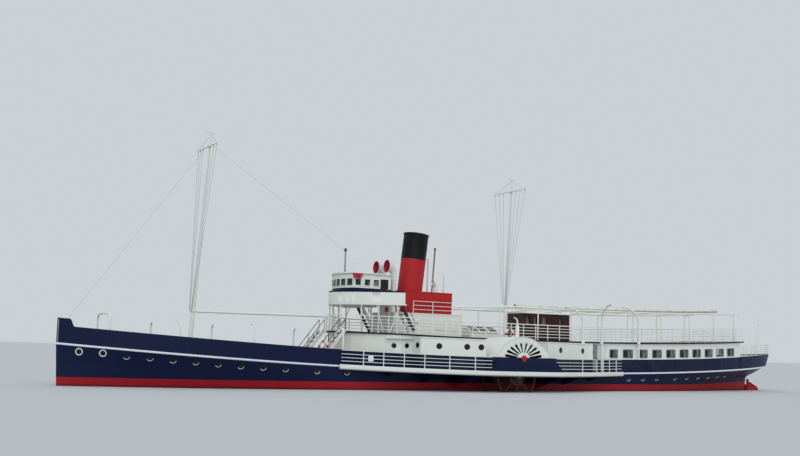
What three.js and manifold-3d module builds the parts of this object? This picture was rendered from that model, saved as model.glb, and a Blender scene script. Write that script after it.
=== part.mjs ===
// A twin-masted excursion paddle steamer, drawn as a 1:2 scale model.
// Every length below is the full-size ship's, in metres, and M turns it into millimetres of the model.
// X runs forward, Y to port and Z up. The origin is amidships on the centreline, at the waterline.

import * as THREE from "three";
import { mergeVertices } from "three/addons/utils/BufferGeometryUtils.js";
import Module from "manifold-3d";

const wasm = await Module();
wasm.setup();

const SCALE = 0.5;
const M = 1000 * SCALE;
const GAP = 0.001;
const FOOT = 0.006;

// Hull
const DRAUGHT = 1.7;
const BOOT_TOP = 0.5;
const HALF_BEAM = 3.7;
const STEM_X = 28.66;
const COUNTER_X = -30.3;
const STERNPOST_X = -27.9;
const STATIONS = 26;
const BULWARK_HEIGHT = 0.93;
const BOW_RAISE = 0.42;
const RAISED_FROM = 27.99;
const PLATE = 0.08;
const STRAKE_HEIGHT = 0.12;
const STRAKE_DEPTH = 0.07;

// Houses on the main deck and the deck above them
const HOUSE_SPLIT = -9.0;
const HOUSE_AFT = -24.4;
const HOUSE_HEIGHT = 2.06;
const WALL = 0.07;
const DECK_THICKNESS = 0.1;
const DECK_HALF = 3.82;
const DECK_LIP = 0.15;

// Sponsons, paddle boxes and wheels
const PADDLE_X = 0.9;
const SHAFT_Z = 1.02;
const BOX_RADIUS = 2.46;
const BOX_CENTRE_Z = 1.1;
const BOX_INNER_Y = 3.84;
const BOX_OUTER_Y = 6.88;
const GUARD_HALF = 6.98;
const GUARD_FORE = 12.6;
const GUARD_AFT = -10.6;
const GUARD_THICKNESS = 0.3;
const WHEEL_RADIUS = 2.12;
const WHEEL_INNER_Y = 4.15;
const WHEEL_OUTER_Y = 6.45;
const FLOATS = 8;

// Bridge and wheelhouse
const BRIDGE_Z = 5.34;
const BRIDGE_TOP_Z = 5.43;
const BRIDGE_AFT = 8.05;
const BRIDGE_REACH = 3.35;
const BRIDGE_HALF = 3.8;
const BRIDGE_CURVE = 1.75;
const BRIDGE_BULWARK_TOP = 6.25;
const WHEELHOUSE_HALF = 1.5;
const WHEELHOUSE_FORE = 10.57;
const WHEELHOUSE_AFT = 7.8;
const WHEELHOUSE_BOW = 0.33;
const WHEELHOUSE_TOP = 7.36;

// Casings, funnel, masts
const CASING_TOP = 5.0;
const UPTAKE_TOP = 6.46;
const FUNNEL_RADIUS = 0.85;
const FUNNEL_FOOT = [5.42, UPTAKE_TOP + GAP];
const FUNNEL_HEAD = [4.98, 10.45];
const RAKE = Math.atan2(FUNNEL_FOOT[0] - FUNNEL_HEAD[0], FUNNEL_HEAD[1] - FUNNEL_FOOT[1]);
const RAIL_HEIGHT = 1.02;

const PAINT = {
  navy: [0x16203f, 0.35, 0],
  red: [0x8e2329, 0.45, 0],
  funnelRed: [0xa8302f, 0.4, 0],
  white: [0xe4e6e2, 0.4, 0],
  deck: [0xa08a68, 0.75, 0],
  mahogany: [0x3a1716, 0.35, 0],
  grey: [0x8f9499, 0.5, 0],
  canvas: [0xd9dad4, 0.9, 0],
  steel: [0x5d6064, 0.55, 0.6],
};

const ship = new THREE.Group();
ship.name = "paddle_steamer";

function add(name, geometry, paint) {
  const [color, roughness, metalness] = PAINT[paint];
  const mesh = new THREE.Mesh(geometry, new THREE.MeshStandardMaterial({ color, roughness, metalness }));
  mesh.geometry.scale(M, M, M);
  mesh.name = name;
  ship.add(mesh);
}

// Solids from points and faces

function bodyOf(points, faces) {
  let volume = 0;
  for (const [a, b, c] of faces) {
    const [p, q, r] = [points[a], points[b], points[c]];
    volume += p[0] * (q[1] * r[2] - q[2] * r[1]);
    volume += p[1] * (q[2] * r[0] - q[0] * r[2]);
    volume += p[2] * (q[0] * r[1] - q[1] * r[0]);
  }
  const outward = volume > 0 ? faces : faces.map(([a, b, c]) => [a, c, b]);
  const geometry = new THREE.BufferGeometry();
  geometry.setAttribute("position", new THREE.BufferAttribute(new Float32Array(points.flat()), 3));
  geometry.setIndex(outward.flat());
  return geometry;
}

// Rings of points with like counts, skinned one to the next, with the end rings closed by strips.
function loft(rings) {
  const n = rings[0].length;
  const faces = [];
  for (let r = 0; r + 1 < rings.length; r++) {
    for (let i = 0; i < n; i++) {
      const [a, b, c, d] = [r * n + i, r * n + ((i + 1) % n), (r + 1) * n + ((i + 1) % n), (r + 1) * n + i];
      faces.push([a, b, c], [a, c, d]);
    }
  }
  const cap = (start, flip) => {
    const triangle = (a, b, c) => {
      const [second, third] = flip ? [b, c] : [c, b];
      faces.push([start + a, start + second, start + third]);
    };
    let [low, high] = [0, n - 1];
    while (low + 1 < high) {
      triangle(low, low + 1, high);
      low += 1;
      if (low + 1 < high) {
        triangle(low, high - 1, high);
        high -= 1;
      }
    }
  };
  cap(0, false);
  cap((rings.length - 1) * n, true);
  return bodyOf(rings.flat(), faces);
}

const box = (x0, x1, y0, y1, z0, z1) =>
  loft([z0, z1].map((z) => [[x0, y0, z], [x1, y0, z], [x1, y1, z], [x0, y1, z]]));

// A slab made of the filled cells of a grid; place(u, v, side) gives each corner on its two faces.
function slab(us, vs, filled, place, closed = false) {
  const spans = closed ? us.length : us.length - 1;
  const points = [];
  const seen = new Map();
  const faces = [];
  const corner = (i, j, side) => {
    const k = i % us.length;
    const key = `${k} ${j} ${side}`;
    if (!seen.has(key)) {
      seen.set(key, points.length);
      points.push(place(us[k], vs[j], side));
    }
    return seen.get(key);
  };
  const full = (i, j) => {
    if (j < 0 || j >= vs.length - 1) return false;
    if (!closed && (i < 0 || i >= spans)) return false;
    return filled((i + spans) % spans, j);
  };
  const quad = (a, b, c, d) => faces.push([a, b, c], [a, c, d]);
  const rim = ([i, j], [k, l]) => quad(corner(i, j, 1), corner(i, j, 0), corner(k, l, 0), corner(k, l, 1));
  for (let i = 0; i < spans; i++) {
    for (let j = 0; j < vs.length - 1; j++) {
      if (!full(i, j)) continue;
      const [a, b, c, d] = [[i, j], [i + 1, j], [i + 1, j + 1], [i, j + 1]];
      quad(...[a, b, c, d].map(([k, l]) => corner(k, l, 0)));
      quad(...[d, c, b, a].map(([k, l]) => corner(k, l, 1)));
      if (!full(i - 1, j)) rim(a, d);
      if (!full(i + 1, j)) rim(c, b);
      if (!full(i, j - 1)) rim(b, a);
      if (!full(i, j + 1)) rim(d, c);
    }
  }
  return bodyOf(points, faces);
}

const always = () => true;

// A round bar along a list of points, with a radius at each end.
function pipe(points, radius, sides = 8, endRadius = radius) {
  const path = points.map((p) => new THREE.Vector3(...p));
  const along = path.map((p, i) => {
    const next = path[Math.min(i + 1, path.length - 1)];
    const last = path[Math.max(i - 1, 0)];
    return next.clone().sub(last).normalize();
  });
  let side = new THREE.Vector3(0.13, 0.99, 0.07).cross(along[0]).normalize();
  const rings = path.map((p, i) => {
    side = side.clone().addScaledVector(along[i], -side.dot(along[i])).normalize();
    const up = along[i].clone().cross(side);
    const r = radius + ((endRadius - radius) * i) / (path.length - 1);
    return Array.from({ length: sides }, (_, k) => {
      const turn = (2 * Math.PI * (k + 0.5)) / sides;
      const q = p.clone().addScaledVector(side, r * Math.cos(turn)).addScaledVector(up, r * Math.sin(turn));
      return [q.x, q.y, q.z];
    });
  });
  return loft(rings);
}

const bar = (a, b, radius, sides = 6) => pipe([a, b], radius, sides);

function solidOf(geometry) {
  const plain = geometry.clone();
  plain.deleteAttribute("normal");
  plain.deleteAttribute("uv");
  const merged = mergeVertices(plain, 1e-6);
  const vertProperties = new Float32Array(merged.attributes.position.array);
  const triVerts = new Uint32Array(merged.index.array);
  return new wasm.Manifold(new wasm.Mesh({ numProp: 3, vertProperties, triVerts }));
}

function geometryOf(solid) {
  const mesh = solid.getMesh();
  const geometry = new THREE.BufferGeometry();
  geometry.setAttribute("position", new THREE.BufferAttribute(new Float32Array(mesh.vertProperties), 3));
  geometry.setIndex(Array.from(mesh.triVerts));
  return geometry;
}

const join = (parts) => geometryOf(parts.map(solidOf).reduce((all, one) => all.add(one)));
const cut = (part, tools) =>
  geometryOf(tools.map(solidOf).reduce((all, one) => all.subtract(one), solidOf(part)));

function mirrored(geometry) {
  const copy = geometry.index ? geometry.clone() : mergeVertices(geometry);
  const p = copy.attributes.position;
  for (let i = 0; i < p.count; i++) p.setY(i, -p.getY(i));
  copy.setIndex(Array.from(copy.index.array).reverse());
  return copy;
}

function addBothSides(name, geometry, paint) {
  add(`${name}_port`, geometry.clone(), paint);
  add(`${name}_starboard`, mirrored(geometry), paint);
}

// Hull form: each level has its end points, the ends of its parallel middle, and its fullness.

const trueSheer = (x) => 1.3 + (x > 0 ? 1.13 * (x / 28.6) ** 2 : x < -4 ? 0.8 * ((x + 4) / 26) ** 2 : 0);

// z, half breadth, fore end, fore middle, fore power, aft end, aft middle, aft power, aft roundness
const BOTTOM_LEVELS = [
  [-DRAUGHT, 2.5, 27.0, 3, 1.15, -26.6, -3, 1.2, 1.25],
  [-1.56, 3.02, 27.7, 5, 1.25, -27.9, -4, 1.35, 1.2],
  [-1.3, 3.38, 28.15, 7, 1.35, -27.9, -5, 1.5, 1.15],
  [-0.85, 3.58, 28.38, 9, 1.5, -27.9, -6, 1.65, 1.1],
  [0, 3.65, 28.5, 11, 1.75, -27.9, -8, 1.8, 1.0],
  [BOOT_TOP, 3.67, 28.54, 12.5, 1.85, -27.9, -9, 1.95, 0.95],
];

// Share of the height between the boot top and the deck edge, then the same columns
const TOP_LEVELS = [
  [0, 3.67, 28.54, 12.5, 1.85, -27.9, -9, 1.95, 0.95],
  [0.36, 3.68, 28.58, 13.5, 1.95, -28.0, -10, 2.0, 0.85],
  [0.68, 3.69, 28.62, 14.7, 2.08, -29.1, -11, 2.1, 0.72],
  [1, HALF_BEAM, STEM_X, 16, 2.2, COUNTER_X, -12, 2.2, 0.625],
];

const stationShare = Array.from({ length: STATIONS + 1 }, (_, i) => {
  const even = i / STATIONS;
  return 0.6 * even + 0.2 * (1 - Math.cos(Math.PI * even));
});

function halfBreadth(level, x) {
  const [, half, foreEnd, foreMiddle, forePower, aftEnd, aftMiddle, aftPower, round] = level;
  const ahead = Math.max(0, x - foreMiddle) / (foreEnd - foreMiddle);
  const behind = Math.max(0, aftMiddle - x) / (aftMiddle - aftEnd);
  return half * Math.max(0, 1 - ahead ** forePower) * Math.max(0, 1 - behind ** aftPower) ** round;
}

const deckLevel = TOP_LEVELS[TOP_LEVELS.length - 1];
const frames = stationShare.map((share) => STEM_X + (COUNTER_X - STEM_X) * share);
const BULWARK_STERN_X = -30.72;

function between(x, ys) {
  for (let i = 0; i + 1 < frames.length; i++) {
    if (x <= frames[i] && x >= frames[i + 1]) {
      const share = (frames[i] - x) / (frames[i] - frames[i + 1]);
      return ys[i] + (ys[i + 1] - ys[i]) * share;
    }
  }
  return x > frames[0] ? ys[0] : ys[ys.length - 1];
}

const frameHalf = frames.map((x) => halfBreadth(deckLevel, x));
const frameSheer = frames.map(trueSheer);
const edgeHalf = (x) => between(x, frameHalf);
const sheer = (x) => between(x, frameSheer);

// The x values from a to b (a forward of b), with the frames between them and any extra ones.
function span(a, b, extra = []) {
  const all = [a, b, ...extra, ...frames].filter((x) => x <= a && x >= b).sort((p, q) => q - p);
  return all.filter((x, i) => i === 0 || all[i - 1] - x > 1e-6);
}

function waterline(level, heightAt) {
  const [, , foreEnd, , , aftEnd] = level;
  const port = stationShare.map((share) => foreEnd + (aftEnd - foreEnd) * share);
  const ring = port.map((x) => [x, halfBreadth(level, x), heightAt(x)]);
  const back = ring.slice(1, -1).reverse().map(([x, y, z]) => [x, -y, z]);
  return [...ring, ...back];
}

function hullBottom() {
  const rings = BOTTOM_LEVELS.map((level) => {
    const height = level[0] === BOOT_TOP ? BOOT_TOP - GAP : level[0];
    return waterline(level, () => height);
  });
  return cut(loft(rings), [engineWell(WELL.floor, BOOT_TOP + 1)]);
}

const SHAFT_BORE = 0.21;
const SHAFT_RADIUS = 0.15;

// Pairs of bollards on the foredeck and after deck: x, y, radius, height
const BOLLARDS = [
  [24.9, 1.35, 0.13, 0.62],
  [24.2, 1.45, 0.13, 0.62],
  [17.9, 3.05, 0.11, 0.55],
  [17.3, 3.05, 0.11, 0.55],
  [-25.9, 1.7, 0.11, 0.5],
  [-26.5, 1.6, 0.11, 0.5],
];

const WINDLASS = { x: 25.6, half: 0.35, drum: 0.2, lift: 0.42, reach: 1.0, cheek: [0.42, 0.62] };
const FORE_HATCH = { fore: 23.4, aft: 21.9, half: 0.75, top: 2.454 };

function windlass() {
  const { x, half, drum, lift, reach, cheek } = WINDLASS;
  const z = sheer(x) + lift;
  const cheeks = [1, -1].map((sign) => {
    const [near, far] = cheek.map((y) => sign * y).sort((a, b) => a - b);
    return box(x - half, x + half, near, far, sheer(x) - 0.2, z + 0.1);
  });
  return [...cheeks, bar([x, -reach, z], [x, reach, z], drum, 12)];
}

function hullTopsides() {
  const rings = TOP_LEVELS.map((level) =>
    waterline(level, (x) => (level[0] === 1 ? sheer(x) : BOOT_TOP + level[0] * (trueSheer(x) - BOOT_TOP)))
  );
  const bore = bar([PADDLE_X, -8, SHAFT_Z], [PADDLE_X, 8, SHAFT_Z], SHAFT_BORE, 16);
  const bollards = BOLLARDS.flatMap(([x, y, radius, height]) =>
    [y, -y].map((side) => bar([x, side, sheer(x) - 0.1], [x, side, sheer(x) + height], radius, 8))
  );
  const { fore, aft, half, top } = FORE_HATCH;
  const hatch = box(aft, fore, -half, half, sheer(aft) - 0.1, top);
  return cut(join([loft(rings), ...bollards, ...windlass(), hatch]), [bore, engineWell(0, 3)]);
}

// Engine room: a well in the hull, open to the deckhouse above, that holds the machinery.
const WELL = { fore: 7.6, aft: -3.2, half: 1.7, floor: -1.2 };
const engineWell = (low, high) => box(WELL.aft, WELL.fore, -WELL.half, WELL.half, low, high);

// Diagonal engine under the shaft, boiler ahead of it, and the bed that joins them
function engineAndBoiler() {
  const floor = WELL.floor + GAP;
  return join([
    box(WELL.aft + 0.1, 2.0, -1.5, 1.5, floor, 0.78),
    box(2.5, WELL.fore - 0.1, -1.6, 1.6, floor, 1.2),
    box(1.9, 2.6, -1.0, 1.0, floor, floor + 0.4),
  ]);
}

const KEEL_HALF = 0.11;
const KEEL_DEPTH = 0.12;
const RUDDER_AXIS_X = -28.22;

function keel() {
  const bottom = -DRAUGHT - GAP;
  return join([
    box(-28.06, 26.6, -KEEL_HALF, KEEL_HALF, bottom - KEEL_DEPTH, bottom),
    box(-28.06, STERNPOST_X - GAP, -KEEL_HALF, KEEL_HALF, bottom - KEEL_DEPTH, BOOT_TOP - 0.02),
    box(-28.42, -28.0, -KEEL_HALF, KEEL_HALF, bottom - KEEL_DEPTH, bottom - 0.02),
  ]);
}

// The rudder blade hangs on a round stock; its outline is in x and z.
function rudder() {
  const outline = [
    [RUDDER_AXIS_X, -1.58], [-28.95, -1.52], [-29.35, -1.2], [-29.46, -0.6],
    [-29.46, 0.14], [-29.3, 0.3], [-28.5, 0.66], [RUDDER_AXIS_X, 0.74],
  ];
  const rings = [-0.06, 0.06].map((y) => outline.map(([x, z]) => [x, y, z]));
  return join([loft(rings), bar([RUDDER_AXIS_X, 0, -1.66], [RUDDER_AXIS_X, 0, 0.93], 0.1, 12)]);
}

// Belts and walls that follow the deck edge

const BOW = "bow";

// Points along the deck edge, round one end of the ship, from port to starboard.
function edgePath(fromX, end, outset) {
  const list = end === BOW ? span(STEM_X, fromX).reverse() : span(fromX, COUNTER_X);
  const port = list.slice(0, -1).map((x) => [x, edgeHalf(x) + outset]);
  const tip = [[list[list.length - 1] + (end === BOW ? 1 : -1) * outset, 0]];
  return [...port, ...tip, ...port.slice().reverse().map(([x, y]) => [x, -y])];
}

const STRAKE_TOP = -0.01;

function strake(fromX, end) {
  const inner = edgePath(fromX, end, 0.004);
  const outer = edgePath(fromX, end, STRAKE_DEPTH);
  const us = inner.map((_, i) => i);
  return slab(us, [0, 1], always, (i, v, side) => {
    const [x, y] = side ? inner[i] : outer[i];
    return [x, y, sheer(x) + STRAKE_TOP - STRAKE_HEIGHT * (1 - v)];
  });
}

const sternLean = (x) => Math.max(0, (-26 - x) / (-26 - COUNTER_X));

// The bulwarks stand on the deck edge. At the stern they flare outward with the counter.
function bulwark(fromX, end) {
  const outer = edgePath(fromX, end, 0);
  const inner = edgePath(fromX, end, -PLATE);
  const us = inner.map((_, i) => i);
  const levels = end === BOW ? [0, BULWARK_HEIGHT, BULWARK_HEIGHT + BOW_RAISE] : [0, BULWARK_HEIGHT];
  const isRaised = (i) => outer[i][0] > RAISED_FROM;
  const filled = (i, j) => j === 0 || (isRaised(i) && isRaised(i + 1));
  const flare = end === BOW ? 0 : BULWARK_STERN_X - COUNTER_X;
  return slab(us, levels, filled, (i, height, side) => {
    const [x, y] = side ? inner[i] : outer[i];
    const lean = sternLean(x) * (height / BULWARK_HEIGHT);
    return [x + flare * lean, y, sheer(x) + GAP + height];
  });
}

// The fore bulwark carries bent awning stanchions: x, height of the bend above the bulwark top
const STANCHIONS = [
  [26.05, 0.9],
  [22.4, 0.85],
  [18.15, 1.1],
  [12.3, 1.3],
];

// The bridge, the deck under it and the deckhouse all have the same bowed front in plan.
const bridgeFront = (y) => BRIDGE_AFT + BRIDGE_REACH * (1 - (Math.abs(y) / BRIDGE_HALF) ** BRIDGE_CURVE);
const FRONT_SHARES = [-1, -0.93, -0.8, -0.62, -0.42, -0.2, 0, 0.2, 0.42, 0.62, 0.8, 0.93, 1];
const HOUSE_HALF = HALF_BEAM - 0.03;
const HOUSE_SETBACK = 0.05;
const HOUSE_FORE = bridgeFront(HOUSE_HALF) - HOUSE_SETBACK;

function bulwarkFore() {
  const posts = STANCHIONS.flatMap(([x, height]) =>
    [1, -1].map((sign) => {
      const y = edgeHalf(x) - PLATE / 2;
      const foot = sheer(x) + 0.3;
      const top = sheer(x) + BULWARK_HEIGHT + height;
      const route = [[x, y, foot], [x, y, top - 0.45], [x, y - 0.12, top - 0.14], [x, y - 0.4, top]];
      return pipe(route.map(([px, py, pz]) => [px, sign * py, pz]), 0.035, 4);
    })
  );
  return join([bulwark(HOUSE_FORE + 0.14, BOW), ...posts]);
}

// Railings: posts at the path's points and bars between them, as one slab full of gaps.
// bars lists the bottom and top height of each bar; a gate keeps only the lowest bar.
function railing(path, closed, base, bars, thickness, gates = []) {
  const heights = [...new Set([0, ...bars.flat()])].sort((a, b) => a - b);
  const half = 0.03;
  const stops = path.flatMap((p, i) => {
    const toward = (q) => {
      const length = Math.hypot(q[0] - p[0], q[1] - p[1]);
      return [p[0] + ((q[0] - p[0]) * half) / length, p[1] + ((q[1] - p[1]) * half) / length];
    };
    const before = closed || i > 0 ? toward(path[(i + path.length - 1) % path.length]) : p;
    const after = closed || i < path.length - 1 ? toward(path[(i + 1) % path.length]) : p;
    return [before, after];
  });
  const inner = inset(stops, thickness, closed);
  const filled = (i, j) => {
    const isPost = i % 2 === 0;
    if (isPost) return true;
    if (gates.includes((i - 1) / 2)) return j === 0;
    return bars.some(([low, high]) => heights[j] >= low && heights[j + 1] <= high);
  };
  return slab(stops.map((_, i) => i), heights, filled, (i, height, side) => {
    const [x, y] = side ? inner[i] : stops[i];
    return [x, y, base(x) + height];
  }, closed);
}

// A rail on the stern bulwark, a staff for the ensign, and the seat that holds its foot
const STERN_RAIL_BARS = [[0, 0.1], [0.42, 0.46], [0.76, 0.8]];
const STAFF = { foot: -29.2, head: -29.75, top: 6.0, radius: 0.035 };

function bulwarkAft() {
  const path = edgePath(HOUSE_AFT - 0.9, "stern", -0.03)
    .filter((_, i, all) => i % 2 === 0 || i === all.length - 1)
    .map(([x, y]) => [x + (BULWARK_STERN_X - COUNTER_X) * sternLean(x), y]);
  const base = (x) => sheer(Math.max(x, COUNTER_X)) + BULWARK_HEIGHT - 0.05;
  const rail = railing(path, false, base, STERN_RAIL_BARS, 0.04);
  const staff = bar([STAFF.foot, 0, sheer(STAFF.foot) + 0.05], [STAFF.head, 0, STAFF.top], STAFF.radius, 8);
  const seatZ = sheer(STAFF.foot) + 0.2;
  const seat = box(COUNTER_X - 0.06, STAFF.foot + 0.2, -0.08, 0.08, seatZ, seatZ + 0.08);
  return join([bulwark(HOUSE_AFT - 0.02, "stern"), staff, seat, rail]);
}

// The same outline moved inward by t, with mitred corners. The outline turns anticlockwise.
function inset(outline, t, closed = true) {
  const n = outline.length;
  const normal = (i, j) => {
    const [ax, ay] = outline[(i + n) % n];
    const [bx, by] = outline[(j + n) % n];
    const length = Math.hypot(bx - ax, by - ay);
    return [-(by - ay) / length, (bx - ax) / length];
  };
  return outline.map(([x, y], i) => {
    const before = closed || i > 0 ? normal(i - 1, i) : normal(i, i + 1);
    const after = closed || i < n - 1 ? normal(i, i + 1) : before;
    const sum = [before[0] + after[0], before[1] + after[1]];
    const scale = t / (1 + before[0] * after[0] + before[1] * after[1]);
    return [x + sum[0] * scale, y + sum[1] * scale];
  });
}

// A standing wall round a closed outline; levels are heights above base(x), and open() cuts its windows.
function walls(outline, base, levels, thickness, open = () => false) {
  const inner = inset(outline, thickness);
  const n = outline.length;
  const filled = (i, j) => {
    const [a, b] = [outline[i], outline[(i + 1) % n]];
    return !open((a[0] + b[0]) / 2, (a[1] + b[1]) / 2, j);
  };
  return slab(outline.map((_, i) => i), levels, filled, (i, height, side) => {
    const [x, y] = side ? inner[i] : outline[i];
    return [x, y, base(x) + height];
  }, true);
}

// Main deckhouse, with the houses on the sponsons joined to it

const FLUSH = 0.03;
const guardTop = (x) => sheer(x) + 0.03;
const houseBase = (x) => sheer(x) + GAP;

// Window edges along the after saloon: first forward edge, pitch, width and count
const SALOON_WINDOWS = { first: -10.7, pitch: 1.47, width: 0.94, count: 9 };
const SALOON_EXTRA = [-9.42, -10.16];
const SILL = 1.06;
const HEAD = 1.63;
const DOOR_FORE = -7.36;
const DOOR_AFT = -8.24;
const DOOR_SILL = 0.08;
const DOOR_HEAD = 1.98;

const windowEdges = () => {
  const { first, pitch, width, count } = SALOON_WINDOWS;
  const rest = Array.from({ length: count }, (_, i) => [first - i * pitch, first - i * pitch - width]);
  return [SALOON_EXTRA, ...rest];
};

function sideOutline(fore, aft, extra) {
  const xs = span(fore, aft, extra);
  const starboard = xs.map((x) => [x, -(edgeHalf(x) - FLUSH)]).reverse();
  const port = xs.map((x) => [x, edgeHalf(x) - FLUSH]);
  return [...starboard, ...port];
}

// Sponson house walls in plan, port side: from the hull out along the guard and back to the hull
const FORE_HOUSE = [[7.33, 3.6], [7.33, 4.62], [3.43, 6.25], [3.43, 3.6]];
const AFT_HOUSE = [[-1.63, 3.6], [-1.63, 6.25], [-6.5, 4.6], [-6.95, 4.6], [-6.95, 3.6]];
const SPONSON_HOUSE_TOP = 1.97;

function prism(outline, low, high) {
  const shape = new THREE.Shape(outline.map(([x, y]) => new THREE.Vector2(x, y)));
  const geometry = new THREE.ExtrudeGeometry(shape, { depth: high - low, bevelEnabled: false });
  geometry.translate(0, 0, low);
  return geometry;
}

function ccw(outline) {
  const points = outline.map(([x, y]) => new THREE.Vector2(x, y));
  return THREE.ShapeUtils.isClockWise(points) ? outline.slice().reverse() : outline;
}

// The shell of a sponson house and the hollow inside it, both lifted to stand on the guard
function sponsonHouse(outline) {
  const plan = ccw(outline);
  const shell = prism(plan, GAP, SPONSON_HOUSE_TOP);
  const hollow = prism(inset(plan, WALL), -1, SPONSON_HOUSE_TOP - WALL);
  return [shell, hollow].map((piece) => {
    const p = piece.attributes.position;
    for (let i = 0; i < p.count; i++) p.setZ(i, p.getZ(i) + guardTop(p.getX(i)));
    return piece;
  });
}

// The house is made in two halves that meet at a narrow joint in the middle of its front.
const HOUSE_PARTING = 0.004;
const ABOVE_HOUSES = 5;

function mainDeckhouse() {
  const sides = sideOutline(HOUSE_FORE, HOUSE_SPLIT + 0.02, [DOOR_FORE, DOOR_AFT]);
  const frontYs = FRONT_SHARES.slice(1, -1).map((share) => share * HOUSE_HALF);
  const front = frontYs.map((y) => [bridgeFront(y) - HOUSE_SETBACK, y]);
  const outline = [...sides.slice(0, sides.length / 2), ...front, ...sides.slice(sides.length / 2)];
  const isDoor = (x, y, j) => Math.abs(y) > 3.5 && x < DOOR_FORE && x > DOOR_AFT && j === 1;
  const ring = walls(outline, houseBase, [0, DOOR_SILL, DOOR_HEAD, HOUSE_HEIGHT], WALL, isDoor);
  const houses = [FORE_HOUSE, AFT_HOUSE].map(sponsonHouse);
  const outer = houses.map(([shell]) => shell);
  const inner = houses.map(([, hollow]) => hollow);
  const starboardSide = box(GUARD_AFT, GUARD_FORE, -GUARD_HALF, HOUSE_PARTING / 2, 0, ABOVE_HOUSES);
  return cut(join([ring, ...outer]), [...inner, starboardSide]);
}

const AFT_DOORWAY = { half: 0.45, sill: 0.12, head: 1.9 };

function aftSaloon() {
  const edges = windowEdges();
  const outline = sideOutline(HOUSE_SPLIT, HOUSE_AFT, edges.flat());
  const isWindow = (x, y, j) => Math.abs(y) > 2 && j === 1 && edges.some(([a, b]) => x < a && x > b);
  const body = walls(outline, houseBase, [0, SILL, HEAD, HOUSE_HEIGHT], WALL, isWindow);
  const { half, sill, head } = AFT_DOORWAY;
  const foot = houseBase(HOUSE_AFT);
  return cut(body, [box(HOUSE_AFT - 0.3, HOUSE_AFT + 0.3, -half, half, foot + sill, foot + head)]);
}

// A door leaf fills its doorway but for a gap all round.
const DOOR_GAP = 0.012;

function doorLeaf(aft, fore, y, sill, head, thickness) {
  return box(aft + DOOR_GAP, fore - DOOR_GAP, y - thickness, y, sill + DOOR_GAP, head - DOOR_GAP);
}

function sideDoor() {
  const sill = houseBase(DOOR_AFT) + DOOR_SILL;
  const head = houseBase(DOOR_FORE) + DOOR_HEAD;
  return doorLeaf(DOOR_AFT, DOOR_FORE, HOUSE_HALF, sill, head, 0.05);
}

// Promenade deck: it follows the sheer, overhangs the walls a little and has the bowed front.
const deckUnder = (x) => sheer(x) + HOUSE_HEIGHT + FOOT;
const deckTop = (x) => deckUnder(x) + DECK_THICKNESS;
const deckHalf = (x) => Math.min(DECK_HALF, edgeHalf(x) + 0.12);
const DECK_FORE = BRIDGE_AFT + DECK_LIP;
const DECK_AFT = -24.75;

const trueDeckTop = (x) => trueSheer(x) + HOUSE_HEIGHT + FOOT + DECK_THICKNESS;

function promenadeDeck() {
  const xs = span(DECK_FORE, DECK_AFT);
  const straight = slab(xs, [-1, 1], always, (x, share, side) => [
    x, share * deckHalf(x), side ? deckTop(x) : deckUnder(x),
  ]);
  const tiers = [0, 0.3, 0.65, 1];
  const root = DECK_FORE - 0.3;
  const bowed = slab(tiers, FRONT_SHARES, always, (tier, share, side) => {
    const y = share * DECK_HALF;
    const front = bridgeFront(Math.min(Math.abs(y), BRIDGE_HALF)) + DECK_LIP;
    const x = root + tier * (front - root);
    return [x, y, side ? trueDeckTop(x) : trueDeckTop(x) - DECK_THICKNESS];
  });
  return join([straight, bowed]);
}

const RAIL_BARS = [[0, 0.03], [0.5, 0.55], [0.97, RAIL_HEIGHT]];
const RAIL_INSET = 0.08;
const RAIL_DEPTH = 0.045;
const STAIR_Y = 1.45;
const STAIR_GATE = [STAIR_Y - 0.42, STAIR_Y + 0.42];
const RAIL_SIDE_BAYS = 9;
const RAIL_PARTING = 0.02;

// The port half runs from the middle of the bowed front, down the side and to the middle of the after end.
function promenadeRailing() {
  const fore = DECK_FORE - 0.1;
  const aft = DECK_AFT + RAIL_INSET;
  const bay = (aft - fore) / RAIL_SIDE_BAYS;
  const side = Array.from({ length: RAIL_SIDE_BAYS + 1 }, (_, i) => fore + bay * i);
  const frontYs = [RAIL_PARTING, ...STAIR_GATE, 2.6, 3.2, 3.6];
  const path = [
    ...frontYs.map((y) => [bridgeFront(y) + DECK_LIP - RAIL_INSET, y]),
    ...side.map((x) => [x, deckHalf(x) - RAIL_INSET]),
    [aft, RAIL_PARTING],
  ];
  const stairBay = frontYs.indexOf(STAIR_GATE[0]);
  return railing(path, false, (x) => deckTop(x) + FOOT, RAIL_BARS, RAIL_DEPTH, [stairBay]);
}

// Sponsons

// The guard is widest beside the paddle box, from PARALLEL.fore to PARALLEL.aft, and tapers to the hull.
const PARALLEL = { fore: 3.9, aft: -2.3 };
const WHEEL_WELL = { fore: PADDLE_X + 2.32, aft: PADDLE_X - 2.32, inner: 4.0, outer: 6.66 };
const BRACKET_XS = [9.2, 6.6, 4.2, -2.6, -5.0, -7.4];
const GUARD_RAIL_POSTS = [[11.9, 10.2, 8.5, 6.8, 5.2, 3.62], [-1.8, -3.7, -5.6, -7.5, -9.4]];
const GUARD_RAIL_BARS = [[0.43, 0.47], [0.86, 0.9]];

// A raised plate on the guard for the foot of a gangway
const LANDING = { foreEdge: -2.75, aftEdge: -3.25, near: 5.95, far: 6.42, height: 0.03 };

function guardHalf(x) {
  const root = HALF_BEAM + 0.12;
  const taperFore = Math.max(0, x - PARALLEL.fore) / (GUARD_FORE - PARALLEL.fore);
  const taperAft = Math.max(0, PARALLEL.aft - x) / (PARALLEL.aft - GUARD_AFT);
  return GUARD_HALF + (root - GUARD_HALF) * (taperFore + taperAft);
}

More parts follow.
